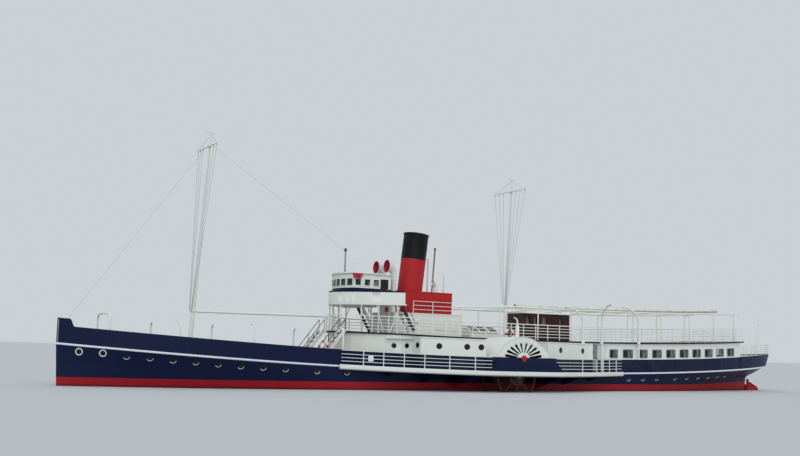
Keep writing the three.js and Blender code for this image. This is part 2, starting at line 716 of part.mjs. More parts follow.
function sponson() {
  const hullSide = HALF_BEAM + 0.006;
  const { fore, aft, inner, outer } = WHEEL_WELL;
  const xs = span(GUARD_FORE, GUARD_AFT, [PARALLEL.fore, PARALLEL.aft, fore, aft]);
  const columns = (x) => {
    const edge = guardHalf(x);
    return [hullSide, Math.min(inner, edge - 0.06), Math.min(outer, edge - 0.03), edge];
  };
  const inWell = (x) => x < fore + 1e-6 && x > aft - 1e-6;
  const filled = (i, j) => !(j <= 1 && inWell(xs[i]) && inWell(xs[i + 1]));
  const floor = slab(xs, [0, 1, 2, 3], filled, (x, j, side) => [
    x, columns(x)[j], guardTop(x) - (side ? GUARD_THICKNESS : 0),
  ]);
  const brackets = BRACKET_XS.map((x) => {
    const reach = guardHalf(x) - 0.25;
    const top = guardTop(x) - GUARD_THICKNESS + 0.04;
    const root = top - 0.32 * (reach - hullSide);
    const outline = [[hullSide, top], [reach, top], [reach, top - 0.06], [hullSide, root]];
    return loft([x - 0.05, x + 0.05].map((px) => outline.map(([y, z]) => [px, y, z])));
  });
  const railBase = (x) => guardTop(x) - 0.02;
  const rails = GUARD_RAIL_POSTS.map((posts) => {
    const path = posts.map((x) => [x, guardHalf(x) - 0.06]);
    return railing(path, false, railBase, GUARD_RAIL_BARS, 0.04);
  });
  const { foreEdge, aftEdge, near, far, height } = LANDING;
  const landing = box(aftEdge, foreEdge, near, far, guardTop(foreEdge) - 0.05, guardTop(foreEdge) + height);
  return join([floor, landing, ...brackets, ...rails]);
}

// Paddle boxes: a hollow arched cover, open below, with a fan of slots in its outer face.
// The fan's rise is less than its reach, by the share given for the inner and the outer ends of the slots.
const FAN = { z: 2.21, slots: 10, inner: 0.42, innerRise: 0.74, outer: 1.42, outerRise: 0.65, width: 0.17 };

function archOutline(radius, base) {
  const foot = Math.asin((base - BOX_CENTRE_Z) / radius);
  const steps = 20;
  return Array.from({ length: steps + 1 }, (_, i) => {
    const turn = foot + ((Math.PI - 2 * foot) * i) / steps;
    return [PADDLE_X + radius * Math.cos(turn), BOX_CENTRE_Z + radius * Math.sin(turn)];
  });
}

function acrossY(outline, y0, y1) {
  return loft([y0, y1].map((y) => outline.map(([x, z]) => [x, y, z])));
}

function fanSlot(turn) {
  const reach = (r, rise) =>
    new THREE.Vector2(PADDLE_X + r * Math.cos(turn), FAN.z + r * Math.sin(turn) * rise);
  const inner = reach(FAN.inner, FAN.innerRise);
  const outer = reach(FAN.outer, FAN.outerRise);
  const along = outer.clone().sub(inner).normalize();
  const across = new THREE.Vector2(-along.y, along.x);
  const [narrow, wide] = [FAN.width * 0.2, FAN.width * 0.5];
  const from = (point, out, side) =>
    point.clone().addScaledVector(along, out).addScaledVector(across, side).toArray();
  const tip = Array.from({ length: 5 }, (_, i) => {
    const round = -Math.PI / 2 + (Math.PI * i) / 4;
    return from(outer, wide * Math.cos(round), wide * Math.sin(round));
  });
  const outline = [from(inner, 0, narrow), from(inner, 0, -narrow), ...tip];
  return acrossY(outline, BOX_OUTER_Y - 0.4, BOX_OUTER_Y + 0.3);
}

function paddleBox() {
  const base = guardTop(PADDLE_X + BOX_RADIUS) + GAP;
  const shell = acrossY(archOutline(BOX_RADIUS, base), BOX_INNER_Y, BOX_OUTER_Y);
  const hollow = acrossY(archOutline(BOX_RADIUS - WALL, base - 0.6), BOX_INNER_Y + WALL, BOX_OUTER_Y - WALL);
  const slots = Array.from({ length: FAN.slots }, (_, i) => fanSlot((Math.PI * (i + 0.5)) / FAN.slots));
  return cut(shell, [hollow, ...slots]);
}

// Paddle wheels: two rings of arms on each, with wide floats between them, and one shaft across the ship.

function aroundShaft(geometry, turn) {
  const copy = geometry.clone();
  copy.translate(-PADDLE_X, 0, -SHAFT_Z);
  copy.rotateY(turn);
  copy.translate(PADDLE_X, 0, SHAFT_Z);
  return copy;
}

const FLOAT = { height: 0.62, half: 0.03 };
const ARM = { half: 0.055, depth: 0.1, inner: 0.16, past: 0.4 };
const WHEEL_RING = { inner: 1.42, outer: 1.54, depth: 0.06 };
const HUB_RADIUS = 0.34;

const alongShaft = (y0, y1, radius) => bar([PADDLE_X, y0, SHAFT_Z], [PADDLE_X, y1, SHAFT_Z], radius, 12);

function paddleWheel() {
  const floatIn = WHEEL_RADIUS - FLOAT.height;
  const planes = [WHEEL_INNER_Y + 0.25, WHEEL_OUTER_Y - 0.35];
  const upright = (half, y0, y1, low, high) =>
    box(PADDLE_X - half, PADDLE_X + half, y0, y1, SHAFT_Z + low, SHAFT_Z + high);
  const parts = [alongShaft(WHEEL_INNER_Y + 0.15, WHEEL_OUTER_Y - 0.1, HUB_RADIUS)];
  for (let i = 0; i < FLOATS; i++) {
    const turn = (2 * Math.PI * i) / FLOATS;
    parts.push(aroundShaft(upright(FLOAT.half, WHEEL_INNER_Y, WHEEL_OUTER_Y, floatIn, WHEEL_RADIUS), turn));
    for (const y of planes) {
      parts.push(aroundShaft(upright(ARM.half, y, y + ARM.depth, ARM.inner, floatIn + ARM.past), turn));
    }
  }
  for (const y of planes) {
    const low = y + (ARM.depth - WHEEL_RING.depth) / 2;
    const disc = alongShaft(low, low + WHEEL_RING.depth, WHEEL_RING.outer);
    parts.push(cut(disc, [alongShaft(low - 0.1, low + 0.2, WHEEL_RING.inner)]));
  }
  return cut(join(parts), [alongShaft(3, 8, SHAFT_RADIUS + 0.002)]);
}

const paddleShaft = () => alongShaft(-WHEEL_OUTER_Y - 0.05, WHEEL_OUTER_Y + 0.05, SHAFT_RADIUS);

// Bridge

const bridgeYs = FRONT_SHARES.map((s) => s * BRIDGE_HALF);
const BRIDGE_POSTS = [3.48, 2.75, 1.98, 0.75];

// Behind the wheelhouse the deck reaches a little further aft.
const BRIDGE_BACK = { half: 1.6, x: 7.58, postX: 7.7, postY: 1.2 };
const POST_RADIUS = 0.045;
const PEDESTAL = { x: 10.05, radius: 0.13, height: 0.95 };

function bridgeDeck() {
  const { half, x: backX, postX, postY } = BRIDGE_BACK;
  const inBack = (y) => Math.abs(y) < half;
  const steps = [-half, -half + 1e-4, half - 1e-4, half];
  const rows = [...bridgeYs, ...steps].sort((a, b) => a - b);
  const aft = (y) => (inBack(y) ? backX : BRIDGE_AFT - 0.12);
  const plate = slab(rows, [0, 1], always, (y, v, side) => [
    v ? bridgeFront(y) : aft(y), y, side ? BRIDGE_TOP_Z : BRIDGE_Z,
  ]);
  const post = (x, y, foot) => bar([x, y, foot + FOOT], [x, y, BRIDGE_Z + 0.04], POST_RADIUS);
  const forePosts = BRIDGE_POSTS.flatMap((y) => {
    const x = bridgeFront(y) - 0.12;
    return [y, -y].map((side) => post(x, side, trueDeckTop(x)));
  });
  const aftPosts = [postY, -postY].map((y) => post(postX, y, deckTop(postX)));
  const { x: pedestalX, radius, height } = PEDESTAL;
  const pedestal = bar([pedestalX, 0, BRIDGE_TOP_Z - 0.04], [pedestalX, 0, BRIDGE_TOP_Z + height], radius, 8);
  return join([plate, ...forePosts, ...aftPosts, pedestal]);
}

function bridgeBulwark() {
  const outer = bridgeYs.map((y) => [bridgeFront(y), y]);
  const inner = inset(outer, WALL, false);
  return slab(outer.map((_, i) => i), [BRIDGE_TOP_Z + GAP, BRIDGE_BULWARK_TOP], always, (i, z, side) => {
    const [x, y] = side ? inner[i] : outer[i];
    return [x, y, z];
  });
}

// Stairs: two stringers, treads between them and two handrails, rising from a foot to a head in x and z.
const STAIR = { steps: 6, plank: 0.05, depth: 0.22, rise: 0.85, tread: 0.2, thickness: 0.04, rail: 0.025 };
const FORE_STAIR = {
  foot: [12.9, sheer(12.9) + FOOT], head: [11.22, trueDeckTop(11.22)], y: STAIR_Y, width: 0.74,
};
const BRIDGE_STAIR = {
  foot: [6.75, deckTop(7.05) + FOOT], head: [BRIDGE_AFT - 0.15, BRIDGE_TOP_Z], y: 2.6, width: 0.7,
};

function stairs({ foot: [x0, z0], head: [x1, z1], y: middle, width }) {
  const { steps, plank, depth, rise, tread, thickness, rail } = STAIR;
  const [dx, dz] = [(x1 - x0) / steps, (z1 - z0) / steps];
  const forward = Math.sign(dx);
  const [near, far] = [middle - width / 2, middle + width / 2];
  const railFoot = [x0 + dx, z0 + dz];
  const railHead = [x1 - 0.05 * forward, z1];
  const parts = [];
  for (const y of [near, far - plank]) {
    parts.push(acrossY([[x0, z0], [x0 + 0.28 * forward, z0], [x1, z1 - depth], [x1, z1]], y, y + plank));
    const route = [[...railFoot, -0.1], [...railFoot, rise], [...railHead, rise], [...railHead, -0.1]];
    parts.push(pipe(route.map(([x, z, lift]) => [x, y + plank / 2, z + lift]), rail, 4));
  }
  for (let i = 1; i < steps; i++) {
    const [x, z] = [x0 + dx * i, z0 + dz * i];
    parts.push(box(x - tread / 2, x + tread / 2, near + 0.02, far - 0.02, z - thickness, z));
  }
  return join(parts);
}

// Wheelhouse: curved front with five windows, three windows and a door on each side

const FRONT_WINDOWS = [-0.8, -0.4, 0, 0.4, 0.8].map((s) => s * WHEELHOUSE_HALF);
const FRONT_WINDOW_HALF = 0.21;
const SIDE_WINDOWS = [[10.57, 10.15], [9.88, 9.46], [9.21, 8.79]].map(([a, b]) => [a - 0.1, b - 0.1]);
const CAB_DOOR = [8.58, 7.98];
const SILL_Z = 6.56;
const HEAD_Z = 7.08;
const cabFront = (y) => WHEELHOUSE_FORE + WHEELHOUSE_BOW * (1 - (y / WHEELHOUSE_HALF) ** 2);

function wheelhouse() {
  const windowYs = FRONT_WINDOWS.flatMap((y) => [y - FRONT_WINDOW_HALF, y + FRONT_WINDOW_HALF]);
  const front = [-WHEELHOUSE_HALF, ...windowYs, WHEELHOUSE_HALF].map((y) => [cabFront(y), y]);
  const sideXs = [...SIDE_WINDOWS.flat(), ...CAB_DOOR].sort((a, b) => b - a);
  const port = [...sideXs.map((x) => [x, WHEELHOUSE_HALF]), [WHEELHOUSE_AFT, WHEELHOUSE_HALF]];
  const starboard = port.slice().reverse().map(([x, y]) => [x, -y]);
  const outline = [...starboard, ...front, ...port];
  const levels = [BRIDGE_TOP_Z + GAP, BRIDGE_TOP_Z + 0.1, SILL_Z, HEAD_Z, WHEELHOUSE_TOP];
  const open = (x, y, j) => {
    const onSide = Math.abs(Math.abs(y) - WHEELHOUSE_HALF) < 0.01;
    if (onSide && x < CAB_DOOR[0] && x > CAB_DOOR[1]) return j === 1 || j === 2;
    if (j !== 2) return false;
    if (onSide) return SIDE_WINDOWS.some(([a, b]) => x < a && x > b);
    return FRONT_WINDOWS.some((w) => Math.abs(y - w) < 0.02);
  };
  return walls(outline, () => 0, levels, 0.06, open);
}

const wheelhouseDoor = () =>
  doorLeaf(CAB_DOOR[1], CAB_DOOR[0], WHEELHOUSE_HALF, BRIDGE_TOP_Z + 0.1, HEAD_Z, 0.04);

function wheelhouseRoof() {
  const half = WHEELHOUSE_HALF + 0.12;
  const ys = [-1, -0.6, -0.2, 0.2, 0.6, 1].map((s) => s * half);
  const crown = (y) => 0.06 * (1 - (y / half) ** 2);
  const front = (y) => WHEELHOUSE_FORE + 0.12 + WHEELHOUSE_BOW * (1 - (y / half) ** 2);
  return slab(ys, [0, 1], always, (y, v, side) => [
    v ? front(y) : WHEELHOUSE_AFT - 0.1, y, WHEELHOUSE_TOP + GAP + (side ? 0.07 + crown(y) : 0),
  ]);
}

// Steering wheel: a rim cut from a disc, four spokes across it with handles past the rim, and a hub
const HELM = {
  x: 9.86, z: BRIDGE_TOP_Z + 1, outer: 0.425, inner: 0.375, half: 0.025, spoke: 0.55, hub: 0.07,
};

function helmWheel() {
  const { x, z, outer, inner, half, spoke, hub } = HELM;
  const disc = (reach, radius, sides) => bar([x - reach, 0, z], [x + reach, 0, z], radius, sides);
  const rim = cut(disc(half, outer, 12), [disc(2 * half, inner, 12)]);
  const spokes = [0, 1, 2, 3].map((i) => {
    const turn = (Math.PI * i) / 4;
    const [dy, dz] = [spoke * Math.cos(turn), spoke * Math.sin(turn)];
    return bar([x, -dy, z - dz], [x, dy, z + dz], 0.018, 4);
  });
  return join([rim, ...spokes, disc(2 * half, hub, 10)]);
}

// Casings and funnel

const CASING = { fore: 7.45, aft: 2.0, half: 1.42 };

const UPTAKE = { fore: 6.62, aft: 2.75, half: 1.2 };

function funnelCasing() {
  return slab(span(CASING.fore, CASING.aft), [-CASING.half, CASING.half], always, (x, y, side) => [
    x, y, side ? CASING_TOP : deckTop(x) + GAP,
  ]);
}

function uptakeCasing() {
  return box(UPTAKE.aft, UPTAKE.fore, -UPTAKE.half, UPTAKE.half, CASING_TOP + GAP, UPTAKE_TOP);
}

// The flue is open for the top 1.6 m, and a lip 0.1 m deep runs round its head.
function funnel() {
  const length = Math.hypot(FUNNEL_FOOT[0] - FUNNEL_HEAD[0], FUNNEL_HEAD[1] - FUNNEL_FOOT[1]);
  const [bore, lip] = [FUNNEL_RADIUS - 0.05, FUNNEL_RADIUS + 0.035];
  const [lipFoot, flueFoot] = [length - 0.1, length - 1.6];
  const profile = [
    [0, -0.3], [FUNNEL_RADIUS, -0.3], [FUNNEL_RADIUS, lipFoot], [lip, lipFoot],
    [lip, length], [bore, length], [bore, flueFoot], [0, flueFoot],
  ];
  const turned = new THREE.LatheGeometry(profile.map(([r, z]) => new THREE.Vector2(r, z)), 32);
  turned.rotateX(Math.PI / 2);
  turned.rotateY(-RAKE);
  turned.translate(FUNNEL_FOOT[0], 0, FUNNEL_FOOT[1]);
  const below = box(3, 8, -2, 2, UPTAKE_TOP - 2, UPTAKE_TOP + GAP);
  return cut(turned, [below]);
}

// A cowl ventilator: an upright trunk that bends forward and widens to its mouth, which is hollow.
function cowl(x, y, foot, mouthX, mouthZ, trunk, mouth) {
  const bend = 6;
  const rings = [];
  const rise = mouthZ - trunk * 0.6;
  const centre = [[x, foot], [x, rise - 0.55]];
  for (let i = 1; i <= bend; i++) {
    const turn = (Math.PI / 2) * (i / bend);
    const reach = mouthX - x;
    centre.push([x + reach * (1 - Math.cos(turn)), rise - 0.55 + (mouthZ - rise + 0.55) * Math.sin(turn)]);
  }
  const sides = 12;
  centre.forEach(([cx, cz], i) => {
    const share = Math.max(0, (i - 1) / bend);
    const turn = (Math.PI / 2) * share;
    const radius = trunk + (mouth - trunk) * share ** 1.6;
    rings.push(Array.from({ length: sides }, (_, k) => {
      const a = (2 * Math.PI * (k + 0.5)) / sides;
      const across = radius * Math.cos(a);
      const lift = radius * Math.sin(a);
      return [cx - lift * Math.cos(turn), y + across, cz + lift * Math.sin(turn)];
    }));
  });
  const lipToThroat = [[mouthX + 0.05, y, mouthZ], [mouthX - 0.3, y, mouthZ]];
  return cut(loft(rings), [pipe(lipToThroat, mouth - 0.05, 12, mouth * 0.55)]);
}

// Skylight over the engine room, with a sloping lid on each side of its ridge

const SKYLIGHT = { fore: 0.95, aft: -1.55, half: 0.95, coaming: 0.42, ridge: 0.86 };

function skylight() {
  const xs = [SKYLIGHT.fore, SKYLIGHT.aft];
  const base = deckTop(SKYLIGHT.fore) + GAP;
  const [coaming, ridge] = [base + SKYLIGHT.coaming, base + SKYLIGHT.ridge - 0.05];
  const section = (x) => [
    [x, -SKYLIGHT.half, base], [x, -SKYLIGHT.half, coaming], [x, -0.06, ridge],
    [x, 0.06, ridge], [x, SKYLIGHT.half, coaming], [x, SKYLIGHT.half, base],
  ];
  return loft(xs.map(section));
}

function skylightLid() {
  const ridge = deckTop(SKYLIGHT.fore) + GAP + SKYLIGHT.ridge;
  const eave = deckTop(SKYLIGHT.fore) + GAP + SKYLIGHT.coaming;
  const [near, far] = [0.09, SKYLIGHT.half + 0.06];
  const section = [[near, ridge - 0.045], [near, ridge + 0.02], [far, eave + 0.035], [far, eave - 0.015]];
  return loft([SKYLIGHT.fore - 0.06, SKYLIGHT.aft + 0.06].map((x) => section.map(([y, z]) => [x, y, z])));
}

// Deck saloon: varnished walls with windows, a door in its forward end and a flat roof

const SALOON = { fore: -3.7, aft: -7.87, half: 0.97, height: 1.93 };
const SALOON_PANES = [[-3.84, -4.2], [-4.55, -4.86], [-5.3, -5.8], [-6.94, -7.21]];
const SALOON_DOOR = 0.4;

function deckSaloon() {
  const base = (x) => deckTop(x) + GAP;
  const xs = span(SALOON.fore, SALOON.aft, SALOON_PANES.flat());
  const port = xs.map((x) => [x, SALOON.half]);
  const starboard = port.slice().reverse().map(([x, y]) => [x, -y]);
  const outline = [...starboard, [SALOON.fore, -SALOON_DOOR], [SALOON.fore, SALOON_DOOR], ...port];
  const open = (x, y, j) => {
    if (Math.abs(y) < 0.1 && x > SALOON.fore - 0.1) return j >= 1 && j <= 3;
    return j === 3 && Math.abs(y) > 0.9 && SALOON_PANES.some(([a, b]) => x < a && x > b);
  };
  return walls(outline, base, [0, 0.05, 0.9, 1.13, 1.75, SALOON.height], 0.07, open);
}

function deckSaloonDoor() {
  const half = SALOON_DOOR - DOOR_GAP;
  const foot = deckTop(SALOON.fore) + 0.065;
  return box(SALOON.fore - 0.055, SALOON.fore - 0.005, -half, half, foot, foot + 1.67);
}

function deckSaloonRoof() {
  const xs = span(SALOON.fore + 0.12, SALOON.aft - 0.12);
  return slab(xs, [-SALOON.half - 0.12, 0, SALOON.half + 0.12], always, (x, y, side) => [
    x, y, deckTop(x) + 2 * GAP + SALOON.height + (side ? 0.07 + (y === 0 ? 0.07 : 0) : 0),
  ]);
}

// Masts and spars

function mast(footX, footZ, headX, headZ, radius, yardZ, yardHalf) {
  const pole = pipe([[footX, 0, footZ], [headX, 0, headZ]], radius, 10, radius * 0.5);
  const climb = (yardZ - footZ) / (headZ - footZ);
  const yardX = footX + (headX - footX) * climb + radius * (1 - climb / 2);
  const yard = bar([yardX, -yardHalf, yardZ], [yardX, yardHalf, yardZ], 0.045);
  const truck = bar([headX, 0, headZ - 0.05], [headX, 0, headZ + 0.06], 0.09, 8);
  return join([pole, yard, truck]);
}

function foreRidge() {
  const [aftX, aftZ] = [11.62, 4.56];
  return join([
    bar([20.48, 0, 4.5], [aftX, 0, aftZ], 0.075, 6),
    bar([aftX + 0.1, 0, sheer(aftX) + FOOT], [aftX + 0.1, 0, aftZ], 0.05, 6),
  ]);
}

// The after awning frame: a rail along each side of the deck, a ridge, and cross bars between them
const AWNING_POSTS = [3.5, 0.4, -2.9, -5.9, -8.8, -11.8, -14.7, -17.8, -20.8, -23.6];
const AWNING = { fore: 4.1, aft: -24.4, ridgeFore: -3.3, ridgeAft: -24.62, lift: 2.2, ridge: 0.12 };
const AWNING_RADII = { rail: 0.04, post: 0.035, ridge: 0.05 };
const awningHalf = (x) => deckHalf(x) - 0.27;
const awningZ = (x) => deckTop(x) + AWNING.lift - 0.05 * Math.max(0, x + 1);
const ridgeZ = (x) => awningZ(x) + AWNING.ridge;

function awningSide() {
  const railPoint = (x) => [x, awningHalf(x), awningZ(x)];
  const rail = pipe([AWNING.fore, ...AWNING_POSTS, AWNING.aft].map(railPoint), AWNING_RADII.rail, 4);
  const posts = AWNING_POSTS.map((x) =>
    bar([x, awningHalf(x), deckTop(x) + FOOT], railPoint(x), AWNING_RADII.post, 4)
  );
  return join([rail, ...posts]);
}

// The cross bars reach almost to the side rails, which carry them.
function awningRidge() {
  const crossed = [AWNING.ridgeFore, ...AWNING_POSTS.filter((x) => x < AWNING.ridgeFore)];
  const ridge = pipe([...crossed, AWNING.ridgeAft].map((x) => [x, 0, ridgeZ(x)]), AWNING_RADII.ridge, 6);
  const crossBars = crossed.map((x) => {
    const reach = awningHalf(x) - AWNING_RADII.rail - 0.02;
    return pipe([[x, -reach, awningZ(x)], [x, 0, ridgeZ(x)], [x, reach, awningZ(x)]], AWNING_RADII.post, 4);
  });
  return join([ridge, ...crossBars]);
}

// The canvas is rolled up and lies along the ridge.
const ROLL = { fore: -3.6, aft: -24.55, radius: 0.17 };

function awningRoll() {
  const xs = [ROLL.fore, ...AWNING_POSTS.filter((x) => x < ROLL.fore), ROLL.aft];
  const lift = AWNING_RADII.ridge + ROLL.radius + 2 * FOOT;
  return pipe(xs.map((x) => [x, 0, ridgeZ(x) + lift]), ROLL.radius, 10);
}

// Davits: an upright stock outside the deck edge that turns in its socket, and an arm that curves over.
// name, x of the stock, heading of the arm in degrees from dead ahead toward the ship's side, foot and head
const DAVITS = [
  ["davit_fore", -6.63, 0, 3.36, 5.85],
  ["davit_middle", -8.38, 72, 1.4, 6.1],
  ["davit_aft", -11.96, 0, 2.3, 6.05],
];
const DAVIT_Y = 3.96;
const DAVIT_REACH = 1.62;

function davit(x, heading, foot, head) {
  const turn = THREE.MathUtils.degToRad(heading);
  const [dx, dy] = [Math.cos(turn), Math.sin(turn)];
  const bend = head - 1.2;
  const arc = Array.from({ length: 6 }, (_, i) => {
    const swing = (Math.PI / 2) * (i / 5);
    return [DAVIT_REACH * (1 - Math.cos(swing)), bend + (head - bend) * Math.sin(swing)];
  });
  const route = [[0, foot], ...arc];
  return pipe(route.map(([out, z]) => [x + dx * out, DAVIT_Y + dy * out, z]), 0.06, 7, 0.045);
}

// Assembly

add("hull_bottom", hullBottom(), "red");
add("hull_topsides", hullTopsides(), "navy");
add("keel", keel(), "red");
add("rudder", rudder(), "red");
add("strake_fore", strake(GUARD_FORE + 0.05, BOW), "white");
add("strake_aft", strake(GUARD_AFT - 0.05, "stern"), "white");
add("bulwark_fore", bulwarkFore(), "navy");

add("bulwark_aft", bulwarkAft(), "navy");

addBothSides("main_deckhouse", mainDeckhouse(), "white");
add("aft_saloon", aftSaloon(), "white");
addBothSides("side_door", sideDoor(), "grey");
add("promenade_deck", promenadeDeck(), "deck");
addBothSides("promenade_railing", promenadeRailing(), "white");
addBothSides("fore_stairs", stairs(FORE_STAIR), "white");

addBothSides("sponson", sponson(), "white");
addBothSides("paddle_box", paddleBox(), "navy");
addBothSides("paddle_wheel", paddleWheel(), "red");
add("paddle_shaft", paddleShaft(), "steel");

add("bridge_deck", bridgeDeck(), "white");
add("bridge_bulwark", bridgeBulwark(), "white");
addBothSides("bridge_stairs", stairs(BRIDGE_STAIR), "white");
add("wheelhouse", wheelhouse(), "white");
add("wheelhouse_roof", wheelhouseRoof(), "white");
addBothSides("wheelhouse_door", wheelhouseDoor(), "mahogany");
add("helm_wheel", helmWheel(), "mahogany");

add("funnel_casing", funnelCasing(), "white");
add("uptake_casing", uptakeCasing(), "funnelRed");
add("funnel", funnel(), "funnelRed");
addBothSides("cowl", cowl(7.13, 0.71, CASING_TOP + GAP, 7.66, 8.05, 0.19, 0.44), "white");
add("cowl_small", cowl(3.88, 0.9, UPTAKE_TOP + GAP, 4.12, 7.14, 0.1, 0.2), "white");

add("skylight", skylight(), "white");
addBothSides("skylight_lid", skylightLid(), "grey");
add("deck_saloon", deckSaloon(), "mahogany");
add("deck_saloon_roof", deckSaloonRoof(), "white");
add("deck_saloon_door", deckSaloonDoor(), "mahogany");

add("foremast", mast(20.86, sheer(20.86) + GAP + 0.01, 20.15, 15.5, 0.14, 14.65, 1.65), "white");
add("mainmast", mast(-2.68, deckTop(-2.68) + GAP + 0.01, -3.14, 15.1, 0.13, 14.25, 1.85), "white");
add("fore_ridge_spar", foreRidge(), "white");
addBothSides("awning_side", awningSide(), "white");
add("awning_ridge", awningRidge(), "white");
add("awning_roll", awningRoll(), "canvas");

for (const [name, ...sizes] of DAVITS) addBothSides(name, davit(...sizes), "white");

add("engine_and_boiler", engineAndBoiler(), "steel");

export default ship;
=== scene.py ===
# %% [markdown]
# # A paddle steamer at half size
# This lesson dresses a half-size excursion paddle steamer. The frame holds every CAD piece where it belongs.
# We leave those whose flat shapes are right and give them paint. Round and curved ones, such as the hull,
# funnel, rails and davits, we work out again as smooth surfaces that stand in their place.

import math

import bmesh
import bpy
import numpy as np
from mathutils import Matrix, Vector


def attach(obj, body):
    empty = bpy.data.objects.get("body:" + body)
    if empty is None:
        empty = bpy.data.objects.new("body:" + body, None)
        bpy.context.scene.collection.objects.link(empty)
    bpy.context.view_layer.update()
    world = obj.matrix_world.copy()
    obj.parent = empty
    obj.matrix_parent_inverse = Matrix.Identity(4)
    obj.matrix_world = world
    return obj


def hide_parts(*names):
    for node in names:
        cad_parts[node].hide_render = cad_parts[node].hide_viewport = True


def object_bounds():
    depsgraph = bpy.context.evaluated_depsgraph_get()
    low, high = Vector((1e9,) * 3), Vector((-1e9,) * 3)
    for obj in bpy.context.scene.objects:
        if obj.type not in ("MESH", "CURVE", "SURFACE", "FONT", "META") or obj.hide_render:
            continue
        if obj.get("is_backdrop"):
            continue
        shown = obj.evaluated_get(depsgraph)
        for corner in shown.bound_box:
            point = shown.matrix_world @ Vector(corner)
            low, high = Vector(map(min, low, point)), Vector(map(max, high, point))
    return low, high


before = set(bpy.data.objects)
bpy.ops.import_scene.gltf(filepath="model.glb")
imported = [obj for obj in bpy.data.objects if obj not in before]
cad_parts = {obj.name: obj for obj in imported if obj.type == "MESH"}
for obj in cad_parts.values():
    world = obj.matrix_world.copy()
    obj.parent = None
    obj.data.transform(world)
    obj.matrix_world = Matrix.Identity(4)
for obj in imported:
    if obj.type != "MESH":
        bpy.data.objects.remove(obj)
cad_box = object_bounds()
SCALE = 0.5          # the model's length for one metre of the ship; every length below is the ship's own
AHEAD, ACROSS, UP = np.eye(3)

# %% [markdown]
# ## Camera
# The view is low, off the port bow, with a long lens that tilts up a little. A camera matrix has the
# directions right, up and backward as its columns, so we work those out from three angles.

# %% Camera
EYE = np.array([42.3, 59.9, 2.4])
YAW, PITCH, ROLL = np.radians([31.0, 6.85, 1.55])
FOCAL_PIXELS, PICTURE_WIDTH = 1031, 800


def new_object(name, data):
    """An object in the scene that holds the data."""
    holder = bpy.data.objects.new(name, data)
    bpy.context.scene.collection.objects.link(holder)
    return holder


def facing(side, up, back, place=(0, 0, 0)):
    """The matrix that points an object's own x, y and z along three directions and puts it at a place."""
    matrix = np.eye(4)
    matrix[:3] = np.stack([side, up, back, place], axis=1)
    return Matrix(matrix.tolist())


forward = np.array([-np.sin(YAW) * np.cos(PITCH), -np.cos(YAW) * np.cos(PITCH), np.sin(PITCH)])
level_right = np.cross(forward, UP) / np.linalg.norm(np.cross(forward, UP))
level_up = np.cross(level_right, forward)
right = level_right * np.cos(ROLL) + level_up * np.sin(ROLL)
above = level_up * np.cos(ROLL) - level_right * np.sin(ROLL)

camera_data = bpy.data.cameras.new("camera")
camera_data.sensor_width = 36
camera_data.lens = FOCAL_PIXELS / PICTURE_WIDTH * camera_data.sensor_width
camera_data.clip_end = 5000
camera = new_object("camera", camera_data)
camera.matrix_world = facing(right, above, -forward, EYE * SCALE)
bpy.context.scene.camera = camera
print("camera at", EYE * SCALE, "m, lens", round(camera_data.lens, 1), "mm")

# %% [markdown]
# ## Shapes from arrays
# A shape is a pair: an array of points, and a list of face arrays that index them. Grids give surfaces,
# paths give tubes and mouldings, and profiles turned about an axis give everything round.

# %% Grids and joins
def grid_faces(rows, columns, close_rows=False, close_columns=False):
    """Four-sided faces of a grid stored row by row: a point, its right neighbour and the two below."""
    i = np.arange(rows if close_rows else rows - 1)[:, None]
    j = np.arange(columns if close_columns else columns - 1)[None, :]
    below, beside = (i + 1) % rows, (j + 1) % columns
    corners = [i * columns + j, i * columns + beside, below * columns + beside, below * columns + j]
    return np.stack(np.broadcast_arrays(*corners), axis=-1).reshape(-1, 4)


def surface(grid, close_rows=False, close_columns=False):
    """The shape over a grid of points."""
    return grid.reshape(-1, 3), [grid_faces(*grid.shape[:2], close_rows, close_columns)]


def spots(x, y, z):
    """Points from their three coordinates, each an array or one number for them all."""
    return np.stack(np.broadcast_arrays(x, y, z), -1)


def join(*shapes):
    """Several shapes as one: the points follow one another, and each shape's faces count on from its start."""
    points, faces, start = [], [], 0
    for own_points, own_faces in shapes:
        points.append(own_points)
        faces += [face + start for face in own_faces]
        start += len(own_points)
    return np.concatenate(points), faces


def mirrored(shape):
    """The same shape on the other side: y becomes minus y."""
    return shape[0] * [1, -1, 1], shape[1]


def both_sides(shape):
    return join(shape, mirrored(shape))


def and_back(port):
    """A path on the port side that ends on the middle line, and its mirror image back again."""
    return np.concatenate([port, (port * [1, -1, 1])[-2::-1]])


def unit(vectors):
    return vectors / np.linalg.norm(vectors, axis=-1, keepdims=True)


def plan_normal(path):
    """Level directions square to a path: its slope (dx, dy) turned to (-dy, dx)."""
    return unit(np.gradient(path, axis=0)[:, [1, 0, 2]] * [-1, 1, 0])


# %% Tubes, bars and mouldings
def sweep(path, section, side, up, closed=False):
    """Every path point carries the same outline: point + a * side + b * up, for each (a, b) of the section."""
    path, section = np.asarray(path, float), np.asarray(section, float)
    side, up = (np.broadcast_to(v, path.shape)[:, None] for v in (side, up))
    points, faces = surface(path[:, None] + section[:, :1] * side + section[:, 1:] * up, closed, True)
    ring = np.arange(len(section))[None]
    return points, faces if closed else [*faces, ring[:, ::-1], ring + len(points) - len(section)]


def circle(sides):
    """Points (cos t, sin t) for equal steps of t round a full turn, half a step on from 0."""
    turn = 2 * np.pi * (np.arange(sides) + 0.5) / sides
    return np.stack([np.cos(turn), np.sin(turn)], axis=1)


